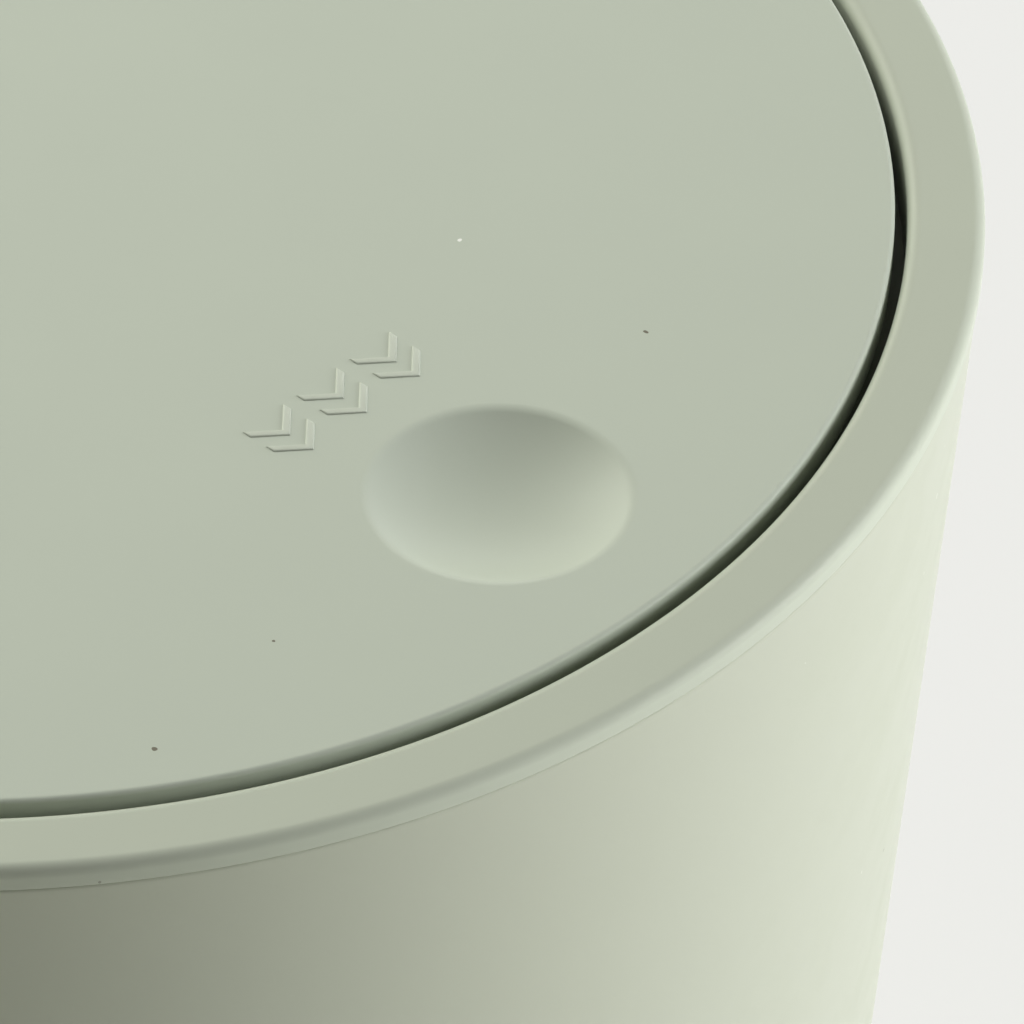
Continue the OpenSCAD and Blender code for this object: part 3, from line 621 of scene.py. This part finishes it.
rimRing = buildRim(rimValues)
weighted = rimRing.modifiers.new("faceNormals", "WEIGHTED_NORMAL")
weighted.keep_sharp = True


def bake(piece):
    # makes the result of the modifiers the piece's own mesh
    bpy.context.view_layer.update()
    graph = bpy.context.evaluated_depsgraph_get()
    result = piece.evaluated_get(graph)
    mesh = bpy.data.meshes.new_from_object(result, preserve_all_data_layers=True, depsgraph=graph)
    mesh.name = piece.name
    piece.modifiers.clear()
    old = piece.data
    piece.data = mesh
    bpy.data.meshes.remove(old)


bake(rimRing)
dress(rimRing, finish["rimPlastic"])
print("stage: rim made")

lidValues = {
    "radius": 91.15,
    "topZ": 239.4,
    "skin": 1.6,
    "edgeHeight": 4.2,
    "edgeWall": 2.0,
    "edgeRound": 0.5,
    "rearY": 50.0,
    "tabHalfWidth": 32.0,
    "tabY": 70.0,
    "cornerRound": 2.2,
    "discSteps": 5000,
    "cornerSteps": 40,
    "spacing": 0.12,
    "dimpleY": -70.0,
    "dimpleRadius": 13.4,
    "dimpleDepth": 3.5,
    "dimpleLip": 2.3,
    "bowlRings": 26,
    "lipRings": 14,
    "edgeRings": 10,
    "underRings": 20,
    "bandRings": 5,
    "bandRound": 0.4,
    "bandCentreY": -20.0,
    "turnShare": 0.45,
    "flatShares": (0.006, 0.05, 0.15, 0.3, 0.45, 0.6, 0.75, 0.88, 0.96, 0.993),
    "underShares": (0.004, 0.3, 0.6, 0.9, 1.0),
    "underInset": 0.05,
    "bossOverlap": 0.1,
    "screwRing": 76.15,
    "screwAngles": (22, -18, -54, -126, -162, 158),
    "bossRadius": 3.35,
    "bossHole": 1.15,
    "bossBottomZ": 236.0,
    "bossSegments": 40,
    "rays": 840,
}


def lidOutline(values, withTab):
    # the disc with a straight rear edge, its corners rounded, run counter-clockwise
    radius, rear, corner = values["radius"], values["rearY"], values["cornerRound"]
    reach = math.sqrt((radius - corner) ** 2 - (rear - corner) ** 2)
    turned = math.degrees(math.atan2(rear - corner, reach))
    steps = values["cornerSteps"]
    path = arcPoints(0, 0, radius, 180 - turned, 360 + turned, values["discSteps"])
    path += arcPoints(reach, rear - corner, corner, turned, 90, steps)
    if withTab:
        half, back = values["tabHalfWidth"], values["tabY"]
        path += arcPoints(half + corner, rear + corner, corner, -90, -180, steps)
        path += arcPoints(half - corner, back - corner, corner, 0, 90, steps)
        path += arcPoints(corner - half, back - corner, corner, 90, 180, steps)
        path += arcPoints(-half - corner, rear + corner, corner, 0, -90, steps)
    path += arcPoints(-reach, rear - corner, corner, 90, 180 - turned, steps)[:-1]
    path = np.array(path)
    strides = np.linalg.norm(np.roll(path, -1, axis=0) - path, axis=1)
    total = np.concatenate([[0], np.cumsum(strides)])
    closed = np.vstack([path, path[:1]])
    marks = np.linspace(0, total[-1], int(total[-1] / values["spacing"]), endpoint=False)
    return np.stack([np.interp(marks, total, closed[:, k]) for k in (0, 1)], axis=1)


def outlineNormals(path):
    # outward directions in the plan
    along = np.roll(path, -2, axis=0) - np.roll(path, 2, axis=0)
    along /= np.linalg.norm(along, axis=1)[:, None]
    return np.stack([along[:, 1], -along[:, 0]], axis=1)


def sampleOutline(path, normals, centre, count, turnShare):
    # spreads the points partly by length and partly by the angle seen from the centre
    offset = path - np.array(centre)
    angle = np.unwrap(np.arctan2(offset[:, 1], offset[:, 0]))
    step = np.linalg.norm(np.roll(path, -1, axis=0) - path, axis=1)
    turnStep = np.diff(np.append(angle, angle[0] + 2 * math.pi))
    share = (1 - turnShare) * step / step.sum() + turnShare * turnStep / (2 * math.pi)
    total = np.concatenate([[0], np.cumsum(share)])
    marks = np.linspace(0, total[-1], count, endpoint=False)
    index = np.arange(len(path) + 1)
    spot = np.interp(marks, total, index)
    low = spot.astype(int) % len(path)
    high = (low + 1) % len(path)
    t = (spot - spot.astype(int))[:, None]
    points = path[low] * (1 - t) + path[high] * t
    outward = normals[low] * (1 - t) + normals[high] * t
    return points, outward / np.linalg.norm(outward, axis=1)[:, None]


def ringPoints(plan, z):
    return [(x, y, z) for x, y in plan]


def buildLid(values):
    # rings from the dimple's middle over its lip and the flat to the edge, then back under the skin
    centre = np.array([0.0, values["dimpleY"]])
    top = values["topZ"]
    under = top - values["skin"]
    path = lidOutline(values, True)
    turnShare = values["turnShare"]
    plan, outward = sampleOutline(path, outlineNormals(path), centre, values["rays"], turnShare)
    rays = plan - centre
    rays /= np.linalg.norm(rays, axis=1)[:, None]
    edge = values["edgeRound"]
    depth = values["dimpleDepth"]
    lipRadius = values["dimpleRadius"]
    slope = 2 * math.atan(depth / lipRadius)
    bowl = lipRadius / math.sin(slope) - values["dimpleLip"]
    rings = []
    for a in np.linspace(0, slope, values["bowlRings"] + 1)[1:]:
        reach = bowl * math.sin(a)
        rings.append(ringPoints(centre + rays * reach, top - depth + bowl * (1 - math.cos(a))))
    lip = values["dimpleLip"]
    for a in np.linspace(slope, 0, values["lipRings"] + 1)[1:]:
        reach = lipRadius - lip * math.sin(a)
        rings.append(ringPoints(centre + rays * reach, top - lip * (1 - math.cos(a))))
    flatStart = centre + rays * lipRadius
    flatEnd = plan - outward * edge
    for t in values["flatShares"]:
        rings.append(ringPoints(flatStart * (1 - t) + flatEnd * t, top))
    for a in np.radians(np.linspace(0, 90, values["edgeRings"] + 1)):
        rings.append(ringPoints(plan - outward * edge * (1 - math.sin(a)), top - edge * (1 - math.cos(a))))
    rings.append(ringPoints(plan, under))
    cup = bowl + values["skin"]
    middle = top - depth + bowl
    underRadius = cup * math.sin(slope)
    if middle - cup * math.cos(slope) > under:
        underRadius = math.sqrt(cup ** 2 - (middle - under) ** 2)
        slope = math.asin(underRadius / cup)
    underStart = plan - outward * values["underInset"]
    underEnd = centre + rays * underRadius
    for t in values["underShares"]:
        rings.append(ringPoints(underStart * (1 - t) + underEnd * t, under))
    for a in np.linspace(slope, 0, values["underRings"] + 1)[1:-1]:
        rings.append(ringPoints(centre + rays * cup * math.sin(a), middle - cup * math.cos(a)))
    size = values["rays"]
    points = [p for ring in rings for p in ring]
    faces = loftFaces(len(rings), size)
    poleTop = len(points)
    points.append((0, values["dimpleY"], top - depth))
    points.append((0, values["dimpleY"], top - depth - values["skin"]))
    last = (len(rings) - 1) * size
    faces += [(poleTop, (k + 1) % size, k) for k in range(size)]
    faces += [(poleTop + 1, last + k, last + (k + 1) % size) for k in range(size)]
    skin = newMesh("lidSkin", points, faces)

    band = lidOutline(values, False)
    bandCentre = (0.0, values["bandCentreY"])
    plan, outward = sampleOutline(band, outlineNormals(band), bandCentre, values["rays"], turnShare)
    low = top - values["edgeHeight"]
    wall = values["edgeWall"]
    soft = values["bandRound"]
    rings = [ringPoints(plan, under)]
    for a in np.radians(np.linspace(0, 90, values["bandRings"] + 1)):
        rings.append(ringPoints(plan - outward * soft * (1 - math.cos(a)), low + soft * (1 - math.sin(a))))
    for a in np.radians(np.linspace(90, 0, values["bandRings"] + 1)):
        inward = wall - soft * (1 - math.cos(a))
        rings.append(ringPoints(plan - outward * inward, low + soft * (1 - math.sin(a))))
    rings.append(ringPoints(plan - outward * wall, under))
    points = [p for ring in rings for p in ring]
    edgeBand = newMesh("lidBand", points, loftFaces(len(rings), size, closed=True))

    bosses = []
    for angle in values["screwAngles"]:
        turned = math.radians(angle)
        spot = (values["screwRing"] * math.cos(turned), values["screwRing"] * math.sin(turned))
        reach, hole, foot = values["bossRadius"], values["bossHole"], values["bossBottomZ"]
        joined = under + values["bossOverlap"]
        loop = [(reach, joined), (reach, foot), (hole, foot), (hole, joined)]
        bosses.append(latheMesh("lidBoss", loop, values["bossSegments"], spot))
    return joinMeshes("lidPanel", [skin, edgeBand] + bosses)


lidPanel = buildLid(lidValues)
dress(lidPanel, finish["lidPlastic"])
print("stage: lid made")


def newNodeTree(name):
    tree = bpy.data.node_groups.new(name, "GeometryNodeTree")
    tree.interface.new_socket(name="Geometry", in_out="INPUT", socket_type="NodeSocketGeometry")
    tree.interface.new_socket(name="Geometry", in_out="OUTPUT", socket_type="NodeSocketGeometry")
    return tree


def addInput(tree, label, kind):
    return tree.interface.new_socket(name=label, in_out="INPUT", socket_type=kind)


def finishTree(tree, start, geometry):
    real = tree.nodes.new("GeometryNodeRealizeInstances")
    tree.links.new(geometry, real.inputs[0])
    painted = tree.nodes.new("GeometryNodeSetMaterial")
    tree.links.new(real.outputs[0], painted.inputs["Geometry"])
    tree.links.new(start.outputs["Material"], painted.inputs["Material"])
    end = tree.nodes.new("NodeGroupOutput")
    tree.links.new(painted.outputs[0], end.inputs[0])


def buildScatterTree():
    # one piece of hardware on each point, turned by a random share of the spread
    tree = newNodeTree("hardwareSet")
    addInput(tree, "Hardware", "NodeSocketObject")
    addInput(tree, "Turn Spread", "NodeSocketFloat")
    addInput(tree, "Seed", "NodeSocketInt")
    addInput(tree, "Material", "NodeSocketMaterial")
    start = tree.nodes.new("NodeGroupInput")
    info = tree.nodes.new("GeometryNodeObjectInfo")
    tree.links.new(start.outputs["Hardware"], info.inputs["Object"])
    chance = tree.nodes.new("FunctionNodeRandomValue")
    chance.data_type = "FLOAT"
    tree.links.new(start.outputs["Turn Spread"], chance.inputs[3])  # its largest value
    tree.links.new(start.outputs["Seed"], chance.inputs["Seed"])
    spin = tree.nodes.new("ShaderNodeCombineXYZ")
    tree.links.new(chance.outputs[1], spin.inputs["Z"])
    copies = tree.nodes.new("GeometryNodeInstanceOnPoints")
    tree.links.new(start.outputs["Geometry"], copies.inputs["Points"])
    tree.links.new(info.outputs["Geometry"], copies.inputs["Instance"])
    tree.links.new(spin.outputs[0], copies.inputs["Rotation"])
    finishTree(tree, start, copies.outputs[0])
    return tree


def buildWireTree():
    # round wire along the edges of a mesh, closed at both ends
    tree = newNodeTree("bentWire")
    addInput(tree, "Wire Radius", "NodeSocketFloat")
    addInput(tree, "Sides", "NodeSocketInt")
    addInput(tree, "Material", "NodeSocketMaterial")
    start = tree.nodes.new("NodeGroupInput")
    path = tree.nodes.new("GeometryNodeMeshToCurve")
    tree.links.new(start.outputs["Geometry"], path.inputs[0])
    ring = tree.nodes.new("GeometryNodeCurvePrimitiveCircle")
    tree.links.new(start.outputs["Wire Radius"], ring.inputs["Radius"])
    tree.links.new(start.outputs["Sides"], ring.inputs["Resolution"])
    sweep = tree.nodes.new("GeometryNodeCurveToMesh")
    sweep.inputs["Fill Caps"].default_value = True
    tree.links.new(path.outputs[0], sweep.inputs["Curve"])
    tree.links.new(ring.outputs[0], sweep.inputs["Profile Curve"])
    finishTree(tree, start, sweep.outputs[0])
    return tree


scatterTree = buildScatterTree()
wireTree = buildWireTree()


def grow(piece, tree, values):
    modifier = piece.modifiers.new(tree.name, "NODES")
    modifier.node_group = tree
    for item in tree.interface.items_tree:
        if item.in_out == "INPUT" and item.name in values:
            modifier[item.identifier] = values[item.name]
    bake(piece)
    smoothMesh(piece.data)


def pointMesh(name, points, joined=False):
    mesh = bpy.data.meshes.new(name)
    edges = [(i, i + 1) for i in range(len(points) - 1)] if joined else []
    mesh.from_pydata([tuple(millimetre * c for c in p) for p in points], edges, [])
    return addObject(name, mesh)


screwValues = {
    "shank": 1.15,
    "thread": 0.14,
    "pitch": 0.8,
    "threadStart": 0.5,
    "threadEnd": 0.6,
    "tip": ((0.25, 0.2), (0.5, 0)),  # inwards and back from the end
    "head": 2.2,
    "headHeight": 1.5,
    "headRound": ((0.9, 0), (0.45, 0.1), (0.12, 0.4), (0, 0.8)),  # inwards and up from the face
    "underRound": 0.08,
    "crossReach": 1.15,
    "crossWidth": 0.57,
    "crossDepth": 0.75,
    "segments": 40,
}


def buildScrew(name, length, values):
    # a pan head below z = 0, ridges on the shank above it, and a cross cut into the head
    head = values["headHeight"]
    radius = values["head"]
    under = values["underRound"]
    shank = values["shank"]
    profile = [(0, -head)]
    profile += [(radius - inset, up - head) for inset, up in values["headRound"]]
    profile += [(radius, -under), (radius - under, 0), (shank, 0)]
    z = values["threadStart"]
    while z < length - values["threadEnd"]:
        profile += [(shank - values["thread"], z), (shank, z + values["pitch"] / 2)]
        z += values["pitch"]
    profile += [(shank - inset, length - back) for inset, back in values["tip"]]
    profile += [(0, length)]
    screw = latheMesh(name, profile, values["segments"])
    for quarter in (0, 90):
        work = bmesh.new()
        bmesh.ops.create_cube(work, size=1)
        size = (2 * values["crossReach"], values["crossWidth"], 2 * values["crossDepth"])
        shape = Matrix.Diagonal((*[millimetre * s for s in size], 1))
        spin = Matrix.Rotation(math.radians(quarter), 4, "Z")
        move = Matrix.Translation((0, 0, -head * millimetre))
        bmesh.ops.transform(work, matrix=move @ spin @ shape, verts=work.verts)
        cutter = workObject("crossCutter", work)
        cut = screw.modifiers.new("cross", "BOOLEAN")
        cut.object = cutter
        cut.operation = "DIFFERENCE"
        cut.solver = "EXACT"
        bake(screw)
        bpy.data.objects.remove(cutter)
    return screw


def ringSpots(radius, angles, z):
    return [(radius * math.cos(math.radians(a)), radius * math.sin(math.radians(a)), z) for a in angles]


turnSpread = 1.4  # radians
hardwareSets = {
    "frameScrewSet": {
        "length": 7.0,
        "spots": ringSpots(rimValues["bossRing"], range(0, 360, 60), 228.7),
        "node": "frame_screws",
        "body": "top",
        "seed": 3,
    },
    "lidScrewSet": {
        "length": 4.6,
        "spots": ringSpots(lidValues["screwRing"], lidValues["screwAngles"], 234.2),
        "node": "lid_screws",
        "body": "lid",
        "seed": 7,
    },
    "latchScrewSet": {
        "length": 6.6,
        "spots": [(-13.0, -70.0, 219.0), (13.0, -70.0, 219.0)],
        "node": "latch_screws",
        "body": "top",
        "seed": 11,
    },
}
finished = []
for setName, values in hardwareSets.items():
    pattern = buildScrew(setName + "Pattern", values["length"], screwValues)
    holder = pointMesh(setName, values["spots"])
    grow(holder, scatterTree, {
        "Hardware": pattern,
        "Turn Spread": turnSpread,
        "Seed": values["seed"],
        "Material": finish["screwSteel"],
    })
    bpy.data.objects.remove(pattern)
    finished.append((holder, values["body"], values["node"], "screw_steel"))
print("stage: screws made")

strikeScrewValues = {
    "shank": 1.0,
    "head": 1.9,
    "headRound": 0.06,
    "recess": 0.32,
    "recessRound": 0.02,
    "recessDepth": 0.35,
    "length": 3.4,
    "tip": 0.3,
    "segments": 36,
    "seed": 5,
    "bottomZ": 229.8,
    "spots": [(-7.2, -70.0), (7.2, -70.0)],
}


def buildStrikeScrew(values):
    # a countersunk head, flush with the plate, with a small round recess
    head, shank, length = values["head"], values["shank"], values["length"]
    recess, soft = values["recess"], values["recessRound"]
    profile = [(0, values["recessDepth"]), (recess, values["recessDepth"]), (recess + soft, soft)]
    profile += [(head - values["headRound"], 0.0), (head, values["headRound"]), (shank, head - shank)]
    profile += [(shank, length - values["tip"]), (shank - values["tip"], length), (0, length)]
    return latheMesh("strikeScrewPattern", profile, values["segments"])


pattern = buildStrikeScrew(strikeScrewValues)
strikeSpots = [(x, y, strikeScrewValues["bottomZ"]) for x, y in strikeScrewValues["spots"]]
strikeScrewSet = pointMesh("strikeScrewSet", strikeSpots)
grow(strikeScrewSet, scatterTree, {
    "Hardware": pattern,
    "Turn Spread": turnSpread,
    "Seed": strikeScrewValues["seed"],
    "Material": finish["screwSteel"],
})
bpy.data.objects.remove(pattern)
finished.append((strikeScrewSet, "lid", "strike_screws", "screw_steel"))

markValues = {
    "y": -49.3,
    "z": lidValues["topZ"],
    "sunk": 0.1,
    "count": 3,
    "pitch": 7.5,
    "width": 5.8,
    "fold": 2.6,
    "nest": 3.1,
    "line": 0.9,
    "relief": 0.15,
    "edgeRound": 0.22,
}


def buildArrowhead(values):
    # two nested chevrons that point at the dimple, with soft top edges
    half = values["width"] / 2
    fold = values["fold"]
    sunk = values["sunk"] * millimetre
    rise = values["line"] / math.cos(math.atan(2 * fold / values["width"]))
    work = bmesh.new()
    for row in (0, 1):
        shift = (row - 0.5) * values["nest"] + fold / 2 - rise / 2
        plan = [(-half, 0), (0, -fold), (half, 0), (half, rise), (0, rise - fold), (-half, rise)]
        base = [work.verts.new((x * millimetre, (y + shift) * millimetre, -sunk)) for x, y in plan]
        left = work.faces.new([base[0], base[1], base[4], base[5]])
        right = work.faces.new([base[1], base[2], base[3], base[4]])
        raised = bmesh.ops.extrude_face_region(work, geom=[left, right])
        lifted = [v for v in raised["geom"] if isinstance(v, bmesh.types.BMVert)]
        bmesh.ops.translate(work, verts=lifted, vec=(0, 0, values["relief"] * millimetre + sunk))
    bmesh.ops.recalc_face_normals(work, faces=work.faces)
    high = [
        e for e in work.edges
        if all(v.co.z > 0 for v in e.verts) and any(f.normal.z < 0.5 for f in e.link_faces)
    ]
    roundEdges(work, high, values["edgeRound"])
    settleOrder(work)
    return workObject("arrowPattern", work)


pattern = buildArrowhead(markValues)
firstX = -(markValues["count"] - 1) / 2 * markValues["pitch"]
markSpots = [
    (firstX + i * markValues["pitch"], markValues["y"], markValues["z"])
    for i in range(markValues["count"])
]
raisedMark = pointMesh("raisedMark", markSpots)
# the arrows take the lighter copy of the lid plastic, a painted highlight on the ridges
grow(raisedMark, scatterTree, {
    "Hardware": pattern,
    "Turn Spread": 0.0,
    "Seed": 0,
    "Material": finish["markPlastic"],
})
bpy.data.objects.remove(pattern)
print("stage: raised mark made")

hingeSpringValues = {
    "wire": 1.1,
    "radius": 3.2,
    "turns": 10,
    "length": 16.0,
    "lidLeg": 17.0,
    "windowReach": 17.0,
    "tail": 4.0,
    "axisY": 62.0,
    "axisZ": 233.0,
    "outerX": 25.4,
    "panelBottomZ": 234.2,
    "ledgeBottomZ": 228.4,
    "gap": 0.05,
    "steps": 24,
    "sides": 16,
    "stillSpot": (0.0112, 0.062, 0.233),  # in metres, as the frame has them
    "movingSpot": (0.0247, 0.062, 0.233),
}


def legAngle(point, radius, way):
    # where a straight leg to the point leaves the coil
    reach = math.hypot(*point)
    return math.atan2(point[1], point[0]) + way * math.acos(radius / reach)


def hingeSpringPath(values):
    # the lid's leg, the coil round the pin, and the leg that goes down through the frame's window
    wire = values["wire"] / 2
    radius = values["radius"]
    lidTip = (-values["lidLeg"], values["panelBottomZ"] - wire - values["gap"] - values["axisZ"])
    frameEdge = (values["windowReach"], values["ledgeBottomZ"] - wire - values["gap"] - values["axisZ"])
    start = legAngle(lidTip, radius, 1) - 2 * math.pi
    end = legAngle(frameEdge, radius, -1) + 2 * math.pi * (values["turns"] - 1)
    leave = Vector((radius * math.cos(end), radius * math.sin(end)))
    way = (Vector(frameEdge) - leave).normalized()
    frameTip = Vector(frameEdge) + values["tail"] * way
    count = round(values["steps"] * (end - start) / (2 * math.pi))
    advance = values["length"] - values["wire"]
    coil = []
    for i in range(count + 1):
        a = start + (end - start) * i / count
        x = values["outerX"] - advance * i / count
        coil.append((x, values["axisY"] + radius * math.cos(a), values["axisZ"] + radius * math.sin(a)))
    path = [(coil[0][0], values["axisY"] + lidTip[0], values["axisZ"] + lidTip[1])]
    path += coil
    path += [(coil[-1][0], values["axisY"] + frameTip[0], values["axisZ"] + frameTip[1])]
    return path


springPath = hingeSpringPath(hingeSpringValues)
springSides = {"Right": 1, "Left": -1}
hingeSprings = {}
for label, side in springSides.items():
    coilPiece = pointMesh("hingeSpring" + label, [(side * x, y, z) for x, y, z in springPath], True)
    grow(coilPiece, wireTree, {
        "Wire Radius": hingeSpringValues["wire"] / 2 * millimetre,
        "Sides": hingeSpringValues["sides"],
        "Material": finish["springSteel"],
    })
    hingeSprings[label] = coilPiece

latchSpringValues = {
    "wire": 0.8,
    "radius": 4.2,
    "turns": 5,
    "lowZ": 206.4,
    "highZ": 215.6,
    "y": -70.0,
    "steps": 28,
    "sides": 14,
    "anchor": (0, -0.07, 0.206),  # in metres too
    "keep": 0.77,
}


def latchSpringPath(values):
    count = values["turns"] * values["steps"]
    path = []
    for i in range(count + 1):
        a = 2 * math.pi * i / values["steps"]
        z = values["lowZ"] + (values["highZ"] - values["lowZ"]) * i / count
        path.append((values["radius"] * math.cos(a), values["y"] + values["radius"] * math.sin(a), z))
    return path


latchSpring = pointMesh("latchSpring", latchSpringPath(latchSpringValues), True)
grow(latchSpring, wireTree, {
    "Wire Radius": latchSpringValues["wire"] / 2 * millimetre,
    "Sides": latchSpringValues["sides"],
    "Material": finish["springSteel"],
})
print("stage: springs made")

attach(tubShell, "tub")
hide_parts("body_shell")
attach(rimRing, "top")
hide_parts("rim_ring")
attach(lidPanel, "lid")
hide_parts("lid_panel")
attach(raisedMark, "lid")
for piece, body, nodeName, slotName in finished:
    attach(piece, body)
    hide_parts(nodeName)
for label, side in springSides.items():
    spring = hingeSprings[label]
    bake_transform(spring)
    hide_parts("hinge_spring_" + label.lower())
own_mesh(latchSpring)
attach(latchSpring, "top")
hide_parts("latch_spring")
print("stage: pieces joined to their bodies")

# one large light for each bright wall or window of the room, at the same distance from the bin
studioValues = {
    "floorColour": (0.82, 0.83, 0.77),
    "floorRoughness": 0.6,
    "floorSize": 6.0,
    "floorShown": 0.7,
    "whiteShown": 0.8,
    "worldColour": (1.0, 0.99, 0.8),
    "worldStrength": 0.07,
    "lightSize": 0.9,
    "aim": (0.0, 0.0, 0.2),
    "lights": {
        "rightWall": {"place": (1.038, -1.197, 0.423), "power": 32.4, "colour": (0.97, 0.97, 1)},
        "backLeftSky": {"place": (0.078, 1.020, 1.426), "power": 17.0, "colour": (1, 1, 0.98)},
        "backLeftWindow": {"place": (0.110, 1.438, 0.876), "power": 11.5, "colour": (1, 0.98, 0.92)},
        "backLeftWall": {"place": (0.120, 1.571, 0.423), "power": 7.2, "colour": (1, 0.98, 0.75)},
        "backRightSky": {"place": (1.031, -0.079, 1.426), "power": 1.0, "colour": (1, 1, 0.95)},
    },
}


def seenDirectly(tree):
    # one for camera, mirror and see-through rays, so that metal shows the white studio too
    rays = tree.nodes.new("ShaderNodeLightPath")
    mirrored = addMath(tree, "MAXIMUM", rays.outputs["Is Camera Ray"], rays.outputs["Is Glossy Ray"])
    return addMath(tree, "MAXIMUM", mirrored, rays.outputs["Is Transmission Ray"])


def buildFloor(values):
    # takes the shadow, and shows mostly as even white to the camera
    half = values["floorSize"] / 2
    mesh = bpy.data.meshes.new("studioFloor")
    corners = [(-half, -half, 0), (half, -half, 0), (half, half, 0), (-half, half, 0)]
    mesh.from_pydata(corners, [], [(0, 1, 2, 3)])
    floor = addObject("studioFloor", mesh)
    material = bpy.data.materials.new("studioWhite")
    material.use_nodes = True
    tree = material.node_tree
    shader = tree.nodes["Principled BSDF"]
    shader.inputs["Base Color"].default_value = (*values["floorColour"], 1)
    shader.inputs["Roughness"].default_value = values["floorRoughness"]
    shown = tree.nodes.new("ShaderNodeEmission")
    level = values["whiteShown"]
    shown.inputs["Color"].default_value = (level, level, level, 1)
    blend = tree.nodes.new("ShaderNodeMixShader")
    share = addMath(tree, "MULTIPLY", seenDirectly(tree), values["floorShown"])
    tree.links.new(share, blend.inputs[0])
    tree.links.new(shader.outputs[0], blend.inputs[1])
    tree.links.new(shown.outputs[0], blend.inputs[2])
    tree.links.new(blend.outputs[0], tree.nodes["Material Output"].inputs["Surface"])
    mesh.materials.append(material)
    return floor


def buildLight(name, values, size, aim):
    data = bpy.data.lights.new(name, "AREA")
    data.shape = "SQUARE"
    data.size = size
    data.energy = values["power"]
    data.color = values["colour"]
    light = addObject(name, data)
    light.visible_glossy = False
    way = Vector(aim) - Vector(values["place"])
    facing = way.to_track_quat("-Z", "Y").to_matrix().to_4x4()
    light.matrix_world = Matrix.Translation(values["place"]) @ facing


studioFloor = buildFloor(studioValues)
for lightName, lightValues in studioValues["lights"].items():
    buildLight(lightName, lightValues, studioValues["lightSize"], studioValues["aim"])
world = bpy.data.worlds.new("studioWorld")
world.use_nodes = True
scene.world = world
worldTree = world.node_tree
skyNode = worldTree.nodes["Background"]
skyNode.inputs["Color"].default_value = (*studioValues["worldColour"], 1)
skyNode.inputs["Strength"].default_value = studioValues["worldStrength"]
shownSky = worldTree.nodes.new("ShaderNodeBackground")
shownLevel = studioValues["whiteShown"]
shownSky.inputs["Color"].default_value = (shownLevel, shownLevel, shownLevel, 1)
skyMix = worldTree.nodes.new("ShaderNodeMixShader")
worldTree.links.new(seenDirectly(worldTree), skyMix.inputs[0])
worldTree.links.new(skyNode.outputs[0], skyMix.inputs[1])
worldTree.links.new(shownSky.outputs[0], skyMix.inputs[2])
worldTree.links.new(skyMix.outputs[0], worldTree.nodes["World Output"].inputs["Surface"])
scene.view_settings.view_transform = "Standard"
print("stage: studio made")
